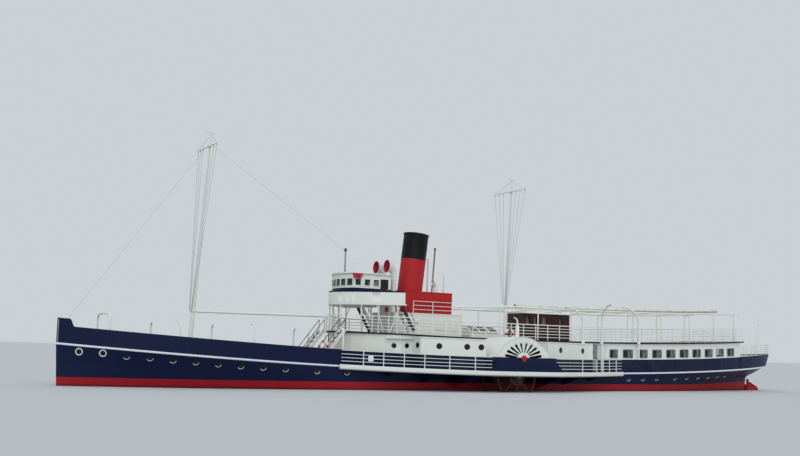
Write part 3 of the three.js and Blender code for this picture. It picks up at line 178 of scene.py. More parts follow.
def tube(path, radius, sides=12, closed=False):
    """A round bar: path + radius (side cos t + up sin t). The path bends least about one direction, and both
    side and up are worked out from that direction, so the tube never twists."""
    path = np.asarray(path, float)
    steady = np.linalg.svd(path - path.mean(0))[2][-1]
    along = unit(np.roll(path, -1, 0) - np.roll(path, 1, 0) if closed else np.gradient(path, axis=0))
    side = unit(np.cross(along, steady))
    radius = np.broadcast_to(radius, len(path))[:, None]
    return sweep(path, circle(sides), side * radius, np.cross(side, along) * radius, closed)


def bars(starts, ends, radius, sides=8, end_radius=None):
    """Many straight round bars at once: a ring of points about each start and each end, joined by faces."""
    starts, ends = np.broadcast_arrays(np.atleast_2d(starts).astype(float), np.atleast_2d(ends).astype(float))
    along = unit(ends - starts)
    side = unit(np.cross(along, np.where(np.abs(along[:, 2:]) > 0.9, AHEAD, UP)))
    round_ = circle(sides)
    ring = round_[:, :1] * side[:, None] + round_[:, 1:] * np.cross(side, along)[:, None]
    far = radius if end_radius is None else end_radius
    points = np.stack([starts[:, None] + radius * ring, ends[:, None] + far * ring], axis=1).reshape(-1, 3)
    one = np.arange(sides)[None]
    first = np.arange(len(starts))[:, None, None] * 2 * sides
    pattern = (grid_faces(2, sides, False, True), one[:, ::-1], one + sides)
    return points, [(first + faces).reshape(-1, faces.shape[1]) for faces in pattern]


def lathe(profile, centre, axis=UP, sides=48, closed=False):
    """A profile of (radius, height) turned about an axis: centre + height * axis + radius * (side cos t +
    up sin t)."""
    profile, axis = np.asarray(profile, float), unit(np.asarray(axis, float))
    side = unit(np.cross(axis, ACROSS if abs(axis[1]) < 0.9 else AHEAD))
    round_ = circle(sides)
    ring = round_[:, :1] * side + round_[:, 1:] * np.cross(axis, side)
    return surface(np.asarray(centre) + profile[:, None, 1:] * axis + profile[:, None, :1] * ring, closed, True)


def both_ends(half):
    """A profile that is the same at both ends: its half, from the far end in, then the half mirrored."""
    return [(radius, -height) for radius, height in half] + half[::-1]


def boxes(centres, sizes, along=AHEAD, up=UP):
    """Many boxes at once: centre plus or minus half of each size along three square directions."""
    centres = np.atleast_2d(np.asarray(centres, float))
    sizes, along, up = (np.broadcast_to(v, centres.shape) for v in (sizes, unit(np.asarray(along, float)), up))
    signs = np.array([[x, y, z] for z in (-1, 1) for x, y in ((-1, -1), (1, -1), (1, 1), (-1, 1))]) / 2
    reach = signs * sizes[:, None]
    points = centres[:, None] + reach[..., :1] * along[:, None] \
        + reach[..., 1:2] * np.cross(up, along)[:, None] + reach[..., 2:] * up[:, None]
    one = np.array([[0, 3, 2, 1], [4, 5, 6, 7], [0, 1, 5, 4], [1, 2, 6, 5], [2, 3, 7, 6], [3, 0, 4, 7]])
    first = np.arange(len(centres))[:, None, None] * 8
    return points.reshape(-1, 3), [(first + one).reshape(-1, 4)]


# %% Flat plates with holes
def plate(outlines, thickness, edge=0.0):
    """A flat plate from outlines in its own plane, the first one outside and the others cut out of it.
    It comes back as points (across, up, through), with through running from 0 to minus thickness."""
    curve = bpy.data.curves.new("plate", "CURVE")
    curve.dimensions, curve.fill_mode = "2D", "BOTH"
    curve.extrude, curve.bevel_depth, curve.bevel_resolution = thickness / 2 - edge, edge, 1
    for outline in outlines:
        line = curve.splines.new("POLY")
        line.points.add(len(outline) - 1)
        line.use_cyclic_u = True
        flat = np.column_stack([outline, np.zeros(len(outline)), np.ones(len(outline))])
        line.points.foreach_set("co", flat.astype(np.float32).ravel())
    holder = bpy.data.objects.new("plate", curve)
    mesh = bpy.data.meshes.new_from_object(holder)
    points = np.zeros(len(mesh.vertices) * 3, np.float32)
    mesh.vertices.foreach_get("co", points)
    by_size = {}
    for polygon in mesh.polygons:
        by_size.setdefault(len(polygon.vertices), []).append(list(polygon.vertices))
    bpy.data.objects.remove(holder)
    bpy.data.curves.remove(curve)
    bpy.data.meshes.remove(mesh)
    points = points.reshape(-1, 3).astype(float) - [0, 0, thickness / 2]
    return points, [np.array(faces) for faces in by_size.values()]


def rounded(width, height, radius):
    """Outline of a rectangle about (0, 0) with a quarter circle at each corner."""
    turn = np.linspace(0, np.pi / 2, 5)
    corner = np.stack([np.cos(turn), np.sin(turn)], axis=1) * radius
    quarters = [corner, corner[:, ::-1] * [-1, 1], -corner, corner[:, ::-1] * [1, -1]]
    centre = np.array([width / 2 - radius, height / 2 - radius])
    return np.concatenate([q + centre * m for q, m in zip(quarters, ((1, 1), (-1, 1), (-1, -1), (1, -1)))])


def stood(shape, place, along):
    """A flat plate stood upright in the ship: place + across * along + up * UP + through * outward."""
    along = np.asarray(along, float)
    return shape[0] @ np.stack([along, UP, unit(np.cross(along, UP))]) + np.asarray(place), shape[1]


# %% [markdown]
# ## Putting a piece in the ship
# One function makes the mesh, merges doubled points, turns every face outward, smooths what bends gently,
# and says which body the piece rides on, which finish it takes and which CAD nodes it stands for. A second
# one does that on both sides of the ship.

# %% The piece maker
made = []


def put(name, shapes, finishes, body="ship", slot=None, stands_for=(), smooth=35, bevel=0.0):
    """Makes one piece from a shape, or from a list of shapes that each have a finish of their own."""
    shapes = shapes if isinstance(shapes, list) else [shapes]
    finishes = finishes if isinstance(finishes, list) else [finishes]
    points, faces = join(*shapes)
    mesh = bpy.data.meshes.new(name)
    mesh.from_pydata((points * SCALE).tolist(), [], [f for kind in faces for f in kind.tolist()])
    numbers = [np.full(sum(len(kind) for kind in own), i) for i, (_, own) in enumerate(shapes)]
    mesh.polygons.foreach_set("material_index", np.concatenate(numbers).astype(np.int32))
    for finish in finishes:
        mesh.materials.append(finish)
    tidy = bmesh.new()
    tidy.from_mesh(mesh)
    bmesh.ops.remove_doubles(tidy, verts=tidy.verts, dist=1e-5)
    bmesh.ops.dissolve_degenerate(tidy, edges=tidy.edges, dist=1e-6)
    bmesh.ops.recalc_face_normals(tidy, faces=tidy.faces)
    tidy.to_mesh(mesh)
    tidy.free()
    mesh.shade_smooth()
    mesh.set_sharp_from_angle(angle=math.radians(smooth))
    piece = new_object(name, mesh)
    if bevel:
        edges = piece.modifiers.new("edges", "BEVEL")
        edges.width, edges.segments, edges.limit_method, edges.harden_normals = bevel * SCALE, 2, "ANGLE", False
    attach(piece, body)
    if stands_for:
        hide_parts(*stands_for)
    made.append(name)
    print(name, len(mesh.polygons), "faces on", body)
    return piece


def put_pair(name, shapes, finishes, body="ship", stands_for=(), **settings):
    """The same piece on both sides. In the names of body and nodes, {} is the side's name."""
    pieces = []
    for side, own in (("port", shapes), ("starboard", [mirrored(shape) for shape in shapes])):
        nodes = tuple(node.format(side) for node in stands_for)
        pieces.append(put(f"{name}_{side}", own, finishes, body.format(side), stands_for=nodes, **settings))
    return pieces

# %% [markdown]
# ## Paint, wood, canvas and glass
# Each finish starts from what the real one is. The colours are the sRGB ones that a picture editor shows, so
# one function turns them to the linear values that a shader wants. A second small function adds a node.

# %% Colours and nodes
def colour(code):
    """sRGB to linear: c / 12.92 where c is dark, and ((c + 0.055) / 1.055) to the power 2.4 above that."""
    share = np.array([int(code[i:i + 2], 16) for i in (1, 3, 5)]) / 255
    return (*np.where(share < 0.04045, share / 12.92, ((share + 0.055) / 1.055) ** 2.4), 1.0)


def add(tree, kind, links=None, **settings):
    """Adds one node. A link that is a node or an output is joined, and any other value is set on the socket."""
    node = tree.nodes.new("ShaderNode" + kind)
    for name, value in settings.items():
        setattr(node, name, value)
    for name, value in (links or {}).items():
        named = [s for s in node.inputs if s.enabled and s.name == name]
        socket = named[0] if named else node.inputs[name]
        if isinstance(value, bpy.types.Node):
            value = next(output for output in value.outputs if output.enabled)
        if isinstance(value, bpy.types.NodeSocket):
            tree.links.new(value, socket)
        else:
            socket.default_value = value
    return node


def finish(name, base, roughness, normal=None, **sockets):
    """A material from a colour and a roughness. Each may be a value or a function of (tree, point) that gives a
    node; point is the place on the object, in metres. Other sockets are set by name, with _ for each space."""
    material = bpy.data.materials.new(name)
    material.use_nodes = True
    tree = material.node_tree
    tree.nodes.clear()
    point = add(tree, "TexCoord").outputs["Object"]
    links = {key.replace("_", " "): value for key, value in sockets.items()}
    for key, value in {"Base Color": base, "Roughness": roughness, "Normal": normal}.items():
        if value is not None:
            links[key] = value(tree, point) if callable(value) else value
    add(tree, "OutputMaterial", {"Surface": add(tree, "BsdfPrincipled", links)})
    return material


# %% Patterns that several finishes share
def patchy(tree, point, noise, spread, result, stretch=None):
    """A noise of (scale, detail, roughness), drawn out by a stretch if it has one. The spread of its values is
    mapped to the range of the result."""
    if stretch:
        point = add(tree, "Mapping", {"Vector": point, "Scale": stretch})
    values = add(tree, "TexNoise", {"Vector": point, "Scale": noise[0], "Detail": noise[1],
                                    "Roughness": noise[2]})
    return add(tree, "MapRange", {"Value": values, "From Min": spread[0], "From Max": spread[1],
                                  "To Min": result[0], "To Max": result[1]})


def faded(tree, point, base, dirt, patches, streaks):
    """Paint fades in soft patches two metres wide and takes faint rain streaks: the base is mixed with a dirt
    colour by a wide noise, and by a noise drawn out twenty times down the plating."""
    patch = patchy(tree, point, (0.9, 3.0, 0.6), (0.42, 0.75), (0, patches))
    streak = patchy(tree, point, (1.0, 4.0, 0.65), (0.55, 0.8), (0, streaks), (7.0, 7.0, 0.35))
    amount = add(tree, "Math", {0: patch, 1: streak}, operation="ADD", use_clamp=True)
    return add(tree, "Mix", {"Factor": amount, "A": base, "B": colour(dirt)}, data_type="RGBA")


def plated(tree, point, length=2.3, height=0.46, depth=0.0012):
    """Riveted plates lap each other: a brick pattern of plate length by strake height stands in the upright
    plane, its joints are the low places, and a slow noise makes the sheets wavy."""
    axes = add(tree, "SeparateXYZ", {"Vector": point})
    upright = add(tree, "CombineXYZ", {"X": axes.outputs[0], "Y": axes.outputs[2]})
    sheets = add(tree, "TexBrick", {"Vector": upright, "Scale": 1.0, "Mortar Size": 0.004, "Mortar Smooth": 0.6,
                                    "Brick Width": length, "Row Height": height})
    waves = add(tree, "TexNoise", {"Vector": point, "Scale": 2.2, "Detail": 2.0})
    low = add(tree, "Math", {0: sheets.outputs["Fac"], 1: -0.7}, operation="MULTIPLY")
    level = add(tree, "Math", {0: waves, 1: low}, operation="ADD")
    return add(tree, "Bump", {"Height": level, "Strength": 0.2, "Distance": depth})


def brushed(tree, point, spacing=0.006, depth=0.0006):
    """Paint laid on with a brush: a fine noise whose grain is the given spacing in metres."""
    grain = add(tree, "TexNoise", {"Vector": point, "Scale": 1 / spacing, "Detail": 3.0, "Roughness": 0.6})
    return add(tree, "Bump", {"Height": grain, "Strength": 0.25, "Distance": depth})


def satin(low, high):
    """Roughness that wanders between two values."""
    return lambda tree, point: patchy(tree, point, (3.0, 4.0, 0.6), (0.3, 0.7), (low, high))


def painted(base, dirt="#8f8c80", patches=0.06, streaks=0.06):
    """One colour, faded."""
    base = colour(base) if isinstance(base, str) else base
    return lambda tree, point: faded(tree, point, base, dirt, patches, streaks)


def two_tone(tree, height, line, low, high, softness=0.002):
    """One colour below a line and another above it, with an edge as soft as brushed paint. The height, the line
    and the colours may be nodes."""
    over = add(tree, "Math", {0: height, 1: line}, operation="SUBTRACT")
    share = add(tree, "MapRange", {"Value": over, "From Min": -softness, "From Max": softness})
    return add(tree, "Mix", {"Factor": share, "A": low, "B": high}, data_type="RGBA")


# %% [markdown]
# ### Enamel on plating
# Ship's enamel goes dull outdoors, so it is a dielectric with the usual IOR of 1.5, little specular and a
# roughness of 0.35 to 0.55. The hull is navy above the boot-top and red below. The houses are white with a
# navy band as high as the bulwark, whose line follows the sheer, so we work out the sheer with nodes.

# %% Enamels
NAVY, BOOT_RED, WHITE, SHIP_RED = colour("#081538"), colour("#9c1a23"), colour("#e3e6e0"), colour("#b5252a")


def enamel(name, base, low, high, plating=brushed):
    return finish(name, base, satin(low, high), plating, IOR=1.5, Specular_IOR_Level=0.16, Coat_Weight=0.02,
                  Coat_Roughness=0.25)


def hull_colours(tree, point):
    """Navy above the boot-top line, which is level at 0.25 m and climbs by 1 in 40 abaft x = -9 m. Below it is
    red, a darker red in the lowest 0.045 m, next to the water."""
    axes = add(tree, "SeparateXYZ", {"Vector": point})
    abaft = add(tree, "Math", {0: -9.0, 1: axes.outputs[0]}, operation="SUBTRACT")
    climbing = add(tree, "Math", {0: abaft, 1: 0.0}, operation="MAXIMUM")
    line = add(tree, "Math", {0: climbing, 1: 0.025, 2: 0.25}, operation="MULTIPLY_ADD")
    red = two_tone(tree, axes.outputs[2], 0.045, colour("#5a1014"), BOOT_RED, 0.03)
    return faded(tree, point, two_tone(tree, axes.outputs[2], line, red, NAVY), "#3c3f55", 0.03, 0.06)


def house_colours(tree, point):
    """White above the navy band, whose top follows the sheer, in the model's metres: 1.115 and
    0.565 (x / 14.3) ** 2 more ahead of x = 0, or 0.4 ((x + 2) / 13) ** 2 more abaft of x = -2."""
    axes = add(tree, "SeparateXYZ", {"Vector": point})
    line = 1.115
    for shift, side, gain in ((0.0, "MAXIMUM", 0.565 / 14.3 ** 2), (2.0, "MINIMUM", 0.4 / 13 ** 2)):
        reach = add(tree, "Math", {0: axes.outputs[0], 1: shift}, operation="ADD")
        reach = add(tree, "Math", {0: reach, 1: 0.0}, operation=side)
        square = add(tree, "Math", {0: reach, 1: reach}, operation="MULTIPLY")
        line = add(tree, "Math", {0: square, 1: gain, 2: line}, operation="MULTIPLY_ADD")
    return faded(tree, point, two_tone(tree, axes.outputs[2], line, NAVY, WHITE), "#8f8c80", 0.06, 0.08)


hull_enamel = enamel("hull_enamel", hull_colours, 0.34, 0.5, plated)
house_enamel = enamel("house_enamel", house_colours, 0.4, 0.55, plated)
white_enamel = enamel("white_enamel", painted(WHITE), 0.4, 0.55)
navy_enamel = enamel("navy_enamel", painted(NAVY, "#3c3f55", 0.03, 0.05), 0.36, 0.5)
red_enamel = enamel("red_enamel", painted(SHIP_RED, "#5b1a1c", 0.2, 0.2), 0.38, 0.55, plated)
cowl_red = enamel("cowl_red", painted("#a01f36", "#3c1018", 0.2, 0.1), 0.4, 0.6)
grey_enamel = enamel("grey_enamel", painted("#8b9092", "#5c5d58", 0.2), 0.4, 0.55)
strake_enamel = enamel("strake_enamel", painted("#dfe3ee", "#8b8a86"), 0.4, 0.55)
print(len(bpy.data.materials), "finishes so far")

# %% [markdown]
# ### Black iron, steel, brass and the funnel
# The funnel is red with a black top. The black starts on a plane square to the raked funnel, so the line comes
# from the place's distance along the funnel's own axis: the dot product of the place with that axis.

# %% Funnel paint and metals
FUNNEL_FOOT, FUNNEL_HEAD = np.array([5.42, 0.0, 6.461]), np.array([4.98, 0.0, 10.45])
BLACK_FROM = 8.66                # height on the funnel's axis where the black starts
funnel_axis = unit(FUNNEL_HEAD - FUNNEL_FOOT)


def at_height(foot, head, z):
    """The point at that height on the line from foot to head."""
    return foot + (z - foot[2]) / (head - foot)[2] * (head - foot)


def funnel_colours(tree, point):
    """Soot black above the line and red below, with heat-bleached patches."""
    along = add(tree, "VectorMath", {0: point, 1: tuple(funnel_axis)}, operation="DOT_PRODUCT")
    line = float(at_height(FUNNEL_FOOT, FUNNEL_HEAD, BLACK_FROM) @ funnel_axis) * SCALE
    both = two_tone(tree, along.outputs["Value"], line, SHIP_RED, colour("#0d0f13"))
    return faded(tree, point, both, "#4a3a38", 0.10, 0.18)


funnel_enamel = enamel("funnel_enamel", funnel_colours, 0.4, 0.6, plated)
black_iron = finish("black_painted_iron", painted("#131417", "#3a3532", 0.2), satin(0.42, 0.6), brushed,
                    IOR=1.5)
# Near black: real soot in the funnel's flue, and painted shade on the inside of the paddle boxes.
soot_and_painted_shade = finish("soot_and_painted_shade", painted("#060606", "#1c1814", 0.3), 0.95, brushed)
# Red lead worn to rust, made darker still as painted shade for the shadow the wheels sit in under the guards.
rusty_red_and_painted_shade = finish("rusty_red_lead_and_painted_shade", painted("#34110f", "#1c0e0c", 0.5, 0.4), satin(0.6, 0.85), brushed)
oily_steel = finish("oily_steel", painted("#6a6c6e", "#2c2723", 0.5, 0.3), satin(0.28, 0.5), brushed,
                    Metallic=0.9)
polished_brass = finish("polished_brass", painted("#c79a4b", "#7a5a28", 0.3, 0.1), satin(0.18, 0.35), brushed,
                        Metallic=1.0)
rusty_pipe = finish("rusty_pipe", painted("#7d675b", "#4a3a32", 0.5, 0.4), satin(0.6, 0.8), brushed)
wire_grey = finish("galvanised_wire", painted("#a2a6a9", "#6b6d6e", 0.3, 0.1), satin(0.45, 0.6), brushed,
                   Metallic=0.3)

# %% [markdown]
# ### Deck planks, varnish, canvas and rope
# Deck planks are softwood about 130 mm wide on the ship, 65 mm on the model, with dark pitch in the seams.
# They weather to a silvery tan, each plank a little different. The deck saloon is varnished mahogany, so it
# has a clear coat. Canvas is a plain weave: at 12 threads to the centimetre it is too fine to show, so the
# weave here is drawn ten times as coarse.

# %% Wood
PLANK_WIDTH, PLANK_LENGTH = 0.13 * SCALE, 6.0 * SCALE


def planks(tree, point):
    """Bricks laid along the ship: one plank long and wide, with pitch for mortar."""
    tones = {"Color1": colour("#a4937a"), "Color2": colour("#8d7d66"), "Mortar": colour("#1d1a17")}
    laid = add(tree, "TexBrick", {"Vector": point, "Scale": 1.0, "Brick Width": PLANK_LENGTH, **tones,
                                  "Row Height": PLANK_WIDTH, "Mortar Size": 0.0022, "Bias": 0.1})
    shade = patchy(tree, point, (1.0, 5.0, 0.7), (0.35, 0.7), (0, 0.35), (3.0, 60.0, 3.0))
    return add(tree, "Mix", {"Factor": shade, "A": laid, "B": colour("#5f5546")}, data_type="RGBA")


def plank_seams(tree, point):
    laid = add(tree, "TexBrick", {"Vector": point, "Scale": 1.0, "Brick Width": PLANK_LENGTH,
                                  "Row Height": PLANK_WIDTH, "Mortar Size": 0.003})
    return add(tree, "Bump", {"Height": laid.outputs["Fac"], "Strength": 0.6, "Distance": 0.002}, invert=True)


def deck_colours(tree, point):
    """Planks where the surface faces up, a navy line on the deck's edge, white paint on the deckhead."""
    facing_up = add(tree, "SeparateXYZ", {"Vector": add(tree, "NewGeometry").outputs["Normal"]}).outputs[2]
    is_top = add(tree, "Math", {0: facing_up, 1: 0.5}, operation="GREATER_THAN")
    is_under = add(tree, "Math", {0: facing_up, 1: -0.5}, operation="LESS_THAN")
    rim = add(tree, "Mix", {"Factor": is_under, "A": NAVY, "B": WHITE}, data_type="RGBA")
    return add(tree, "Mix", {"Factor": is_top, "A": rim, "B": planks(tree, point)}, data_type="RGBA")


def mahogany_grain(tree, point):
    """Bands of a wave that a noise bends, drawn out along the board."""
    drawn = add(tree, "Mapping", {"Vector": point, "Scale": (2.0, 14.0, 14.0)})
    rings = add(tree, "TexWave", {"Vector": drawn, "Scale": 1.3, "Distortion": 5.0, "Detail": 4.0})
    tones = {"A": colour("#260705"), "B": colour("#3d100b")}
    return add(tree, "Mix", {"Factor": rings.outputs["Fac"], **tones}, data_type="RGBA")


def boards(tree, point):
    """Tongued boards 120 mm wide on the ship: upright grooves, given as the low places of a brick pattern."""
    axes = add(tree, "SeparateXYZ", {"Vector": point})
    along = add(tree, "Math", {0: axes.outputs[0], 1: axes.outputs[1]}, operation="ADD")
    upright = add(tree, "CombineXYZ", {"X": axes.outputs[2], "Y": along})
    grooves = add(tree, "TexBrick", {"Vector": upright, "Scale": 1.0, "Brick Width": 3.0, "Row Height": 0.06,
                                     "Mortar Size": 0.002})
    return add(tree, "Bump", {"Height": grooves.outputs["Fac"], "Strength": 0.5, "Distance": 0.0015},
               invert=True)


deck_planking = finish("weathered_deck_planks", planks, satin(0.65, 0.85), plank_seams)
promenade_planking = finish("planks_with_painted_edge", deck_colours, satin(0.55, 0.8), plank_seams)
varnished = finish("varnished_mahogany", mahogany_grain, satin(0.35, 0.5), boards, Coat_Weight=0.2,
                   Coat_Roughness=0.15, Specular_IOR_Level=0.25, IOR=1.5)

# %% Cloth, rope and glass
WEAVE = 0.008                # metres from thread to thread, ten times as coarse as the real canvas


def canvas_colours(tree, point):
    """Bleached canvas with grey mildew in patches."""
    mildew = patchy(tree, point, (3.5, 6.0, 0.7), (0.46, 0.72), (0, 0.55))
    return add(tree, "Mix", {"Factor": mildew, "A": colour("#dcdcd2"), "B": colour("#8f9088")},
               data_type="RGBA")


def woven(tree, point):
    """A plain weave: the product of two sine waves, one along each thread."""
    axes = add(tree, "SeparateXYZ", {"Vector": point})
    angles = [add(tree, "Math", {0: axes.outputs[i], 1: 2 * math.pi / WEAVE}, operation="MULTIPLY")
              for i in (0, 2)]
    waves = [add(tree, "Math", {0: angle}, operation="SINE") for angle in angles]
    both = add(tree, "Math", {0: waves[0], 1: waves[1]}, operation="MULTIPLY")
    return add(tree, "Bump", {"Height": both, "Strength": 0.4, "Distance": 0.0012})


def laid_rope(tree, point):
    """Strands wind round a rope: bands of a wave set slanting to it."""
    strands = add(tree, "TexWave", {"Vector": point, "Scale": 22.0, "Distortion": 0.5},
                  bands_direction="DIAGONAL")
    return add(tree, "Bump", {"Height": strands.outputs["Fac"], "Strength": 0.5, "Distance": 0.002})


canvas = finish("awning_canvas", canvas_colours, 0.9, woven, Sheen_Weight=0.25)
rope = finish("hemp_rope", painted("#cfc9b8", "#8a8272", 0.4, 0.2), 0.85, laid_rope)
curtain = finish("curtain_cotton", painted("#cfcabd", "#8f8a7d", 0.3, 0.3), 0.9, woven, Sheen_Weight=0.2)
port_glass = finish("porthole_glass", painted("#06090f", "#10161c", 0.3, 0.0), satin(0.05, 0.12),
                    Specular_IOR_Level=0.35, IOR=1.52)
window_glass, clear_glass = (
    finish(name, painted("#1a2427", "#38454a", 0.3, 0.0), satin(0.04, 0.1), IOR=1.52, Alpha=alpha)
    for name, alpha in (("window_glass", 0.6), ("cabin_glass", 0.3)))
red_glass, green_glass = (
    finish(name, painted(code, dirt, 0.2, 0.1), satin(0.3, 0.4), brushed)
    for name, code, dirt in (("port_light_red", "#b3161c", "#4c1014"),
                             ("starboard_light_green", "#0f6b3b", "#0b3a22")))
print(len(bpy.data.materials), "finishes in all")

# %% [markdown]
# ## Floor and light
# A large pale floor lies at the waterline, where the water would be, so it hides what is below. The light is
# an overcast sky of one pale grey, with one very wide soft sun from the port bow that gives shapes a side.

# %% Floor, sky and sun
FLOOR_HALF = 2400.0
SUN_FROM, SUN_WIDTH, SUN_STRENGTH, SKY_STRENGTH = unit(np.array([0.45, 0.9, 0.85])), 70, 1.1, 0.98
floor_mesh = bpy.data.meshes.new("floor")
floor_corners = np.array([(-1, -1, 0), (1, -1, 0), (1, 1, 0), (-1, 1, 0)]) * FLOOR_HALF
floor_mesh.from_pydata(floor_corners.tolist(), [], [(0, 1, 2, 3)])
floor_mesh.materials.append(finish("pale_floor", colour("#c3c8cc"), 0.9))
new_object("floor", floor_mesh)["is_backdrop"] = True

world = bpy.data.worlds.new("overcast")
bpy.context.scene.world = world
world.use_nodes = True
sky = world.node_tree.nodes["Background"]
sky.inputs["Color"].default_value = colour("#cdd2d6")
sky.inputs["Strength"].default_value = SKY_STRENGTH

sun_data = bpy.data.lights.new("sun", "SUN")
sun_data.energy, sun_data.angle = SUN_STRENGTH, math.radians(SUN_WIDTH)
sun_side = unit(np.cross(UP, SUN_FROM))
new_object("sun", sun_data).matrix_world = facing(sun_side, np.cross(SUN_FROM, sun_side), SUN_FROM)
bpy.context.scene.view_settings.view_transform = "Standard"
print("sun from", np.round(SUN_FROM, 2))

# %% [markdown]
# ## The lines of the hull
# A shipwright draws a hull as level waterlines. Each one here has a half breadth, the places where it starts to
# close in, and powers that say how full or hollow it runs to the stem and the stern. We slide smoothly from
# one level to the next, so the whole shell is one function of a station and a level.

# %% Waterlines
BOOT_TOP, DRAUGHT, BOW, STERN = 0.5, 1.7, 28.66, -30.3
# level (-1 keel, 0 boot-top, 1 deck edge), half breadth, fore end, fore middle, power, aft end, aft middle,
# power, rounding
WATERLINES = np.array([
    [-1.0, 2.5, 27.0, 3.0, 1.15, -26.6, -3.0, 1.2, 1.25],
    [-0.936, 3.02, 27.7, 5.0, 1.25, -27.9, -4.0, 1.35, 1.2],
    [-0.818, 3.38, 28.15, 7.0, 1.35, -27.9, -5.0, 1.5, 1.15],
    [-0.614, 3.58, 28.38, 9.0, 1.5, -27.9, -6.0, 1.65, 1.1],
    [-0.227, 3.65, 28.5, 11.0, 1.75, -27.9, -8.0, 1.8, 1.0],
    [0.0, 3.67, 28.54, 12.5, 1.85, -27.9, -9.0, 1.95, 0.95],
    [0.36, 3.68, 28.58, 13.5, 1.95, -28.0, -10.0, 2.0, 0.85],
    [0.68, 3.69, 28.62, 14.7, 2.08, -29.1, -11.0, 2.1, 0.72],
    [1.0, 3.7, BOW, 16.0, 2.2, STERN, -12.0, 2.2, 0.625]])


def sheer(x):
    """The deck's edge rises from 1.3 m by the square of the distance: by 1.13 m at the bow and 0.8 m aft."""
    x = np.asarray(x, float)
    return 1.3 + 1.13 * (np.maximum(x, 0) / 28.6) ** 2 + 0.8 * (np.minimum(x + 4, 0) / 26) ** 2


def waterline_at(level):
    """A cubic between the two nearest rows. Its slope at a row is the harmonic mean of the slopes to both sides,
    or 0 where they differ in sign, so nothing swings past a row."""
    at, rows = WATERLINES[:, 0], WATERLINES[:, 1:]
    step = np.diff(at)
    rise = np.diff(rows, axis=0) / step[:, None]
    product = rise[1:] * rise[:-1]
    mean = np.divide(2 * product, rise[1:] + rise[:-1], out=np.zeros_like(product), where=product > 0)
    slope = np.vstack([rise[:1], mean, rise[-1:]])
    level = np.asarray(level, float)
    i = np.clip(np.searchsorted(at, level, side="right") - 1, 0, len(at) - 2)
    t, h = ((level - at[i]) / step[i])[..., None], step[i][..., None]
    return rows[i] * (1 + 2 * t) * (1 - t) ** 2 + rows[i + 1] * t ** 2 * (3 - 2 * t) \
        + h * t * (1 - t) * (slope[i] * (1 - t) - slope[i + 1] * t)


def half_breadth(level, x):
    """Half breadth times (1 - a ** power) ahead of the fore middle and (1 - b ** power) ** rounding abaft of the
    aft middle, where a and b run from 0 there to 1 at the ends."""
    half, fore_end, fore_middle, fore_power, aft_end, aft_middle, aft_power, rounding = \
        np.moveaxis(waterline_at(level), -1, 0)
    a = np.clip((x - fore_middle) / (fore_end - fore_middle), 0, 1)
    b = np.clip((aft_middle - x) / (aft_middle - aft_end), 0, 1)
    return half * (1 - a ** fore_power) * (1 - b ** aft_power) ** rounding


def edge_half(x):
    return half_breadth(np.ones(np.shape(x)), np.asarray(x, float))


def level_height(level, x):
    """2.2 m for each level below the boot-top, and a share of the way up to the sheer above it."""
    return BOOT_TOP + np.where(level < 0, (BOOT_TOP + DRAUGHT) * level, level * (sheer(x) - BOOT_TOP))


def hull_point(x, z):
    """The port side's point at that place along and height, and the unit normal there: (-dy/dx, 1, -dy/dz)."""
    def side(px, pz):
        return half_breadth((pz - BOOT_TOP) / (sheer(px) - BOOT_TOP), px)
    d = 0.05
    slopes = (side(x + d, z) - side(x - d, z)) / (2 * d), (side(x, z + d) - side(x, z - d)) / (2 * d)
    return spots(x, side(x, z), z), unit(spots(-slopes[0], 1.0, -slopes[1]))


print("half breadth amidships", edge_half(0.0), "m, sheer at the bow", round(float(sheer(28.6)), 2), "m")

# %% [markdown]
# ### The shell, the deck and the engine well
# The deck closes the shell at the top. Amidships it is open over the engine room, which is a well with a floor
# and four walls. Bollards, a windlass and a hatch stand on the foredeck.

# %% Shell
WELL = {"fore": 7.6, "aft": -3.2, "half": 1.7, "floor": -1.2}
# stations crowd toward both ends: 0.6 of an even share and 0.4 of a share that eases in and out
even = np.linspace(0, 1, 141)
well_share = (BOW - np.array([WELL["fore"], WELL["aft"]])) / (BOW - STERN)
stations = np.unique(np.concatenate([0.6 * even + 0.2 * (1 - np.cos(np.pi * even)), well_share]))
levels = np.concatenate([np.linspace(-1, 0, 19)[:-1], np.linspace(0, 1, 21)])
fore_ends, aft_ends = waterline_at(levels)[:, 1], waterline_at(levels)[:, 4]
xs = fore_ends + (aft_ends - fore_ends) * stations[:, None]
side = spots(xs, half_breadth(levels, xs), level_height(levels, xs))
shell = surface(np.concatenate([side[:, ::-1], side[:, :1] * [1, 0, 1], side * [1, -1, 1]], axis=1))

edge = side[:, -1]
inner = np.minimum(WELL["half"], 0.46 * edge[:, 1])
deck_ys = np.stack([edge[:, 1], inner, -inner, -edge[:, 1]], axis=1)
in_well = (edge[:, 0] < WELL["fore"] + 1e-6) & (edge[:, 0] > WELL["aft"] - 1e-6)
open_cell = np.zeros((len(stations) - 1, 3), bool)
open_cell[:, 1] = in_well[:-1] & in_well[1:]
deck_points, deck_faces = surface(spots(edge[:, :1], deck_ys, edge[:, 2:]))
hull_deck = (deck_points, [deck_faces[0].reshape(-1, 3, 4)[~open_cell]])

well_edge = edge[in_well] * [1, 0, 1] + [0, WELL["half"], 0]
well_floor = well_edge * [1, 1, 0] + [0, 0, WELL["floor"]]
well_ring = np.stack([well_edge, well_floor, well_floor * [1, -1, 1], well_edge * [1, -1, 1]], axis=1)
well_lining = join(surface(well_ring), (well_ring[[0, -1]].reshape(-1, 3), [np.arange(8).reshape(2, 4)]))

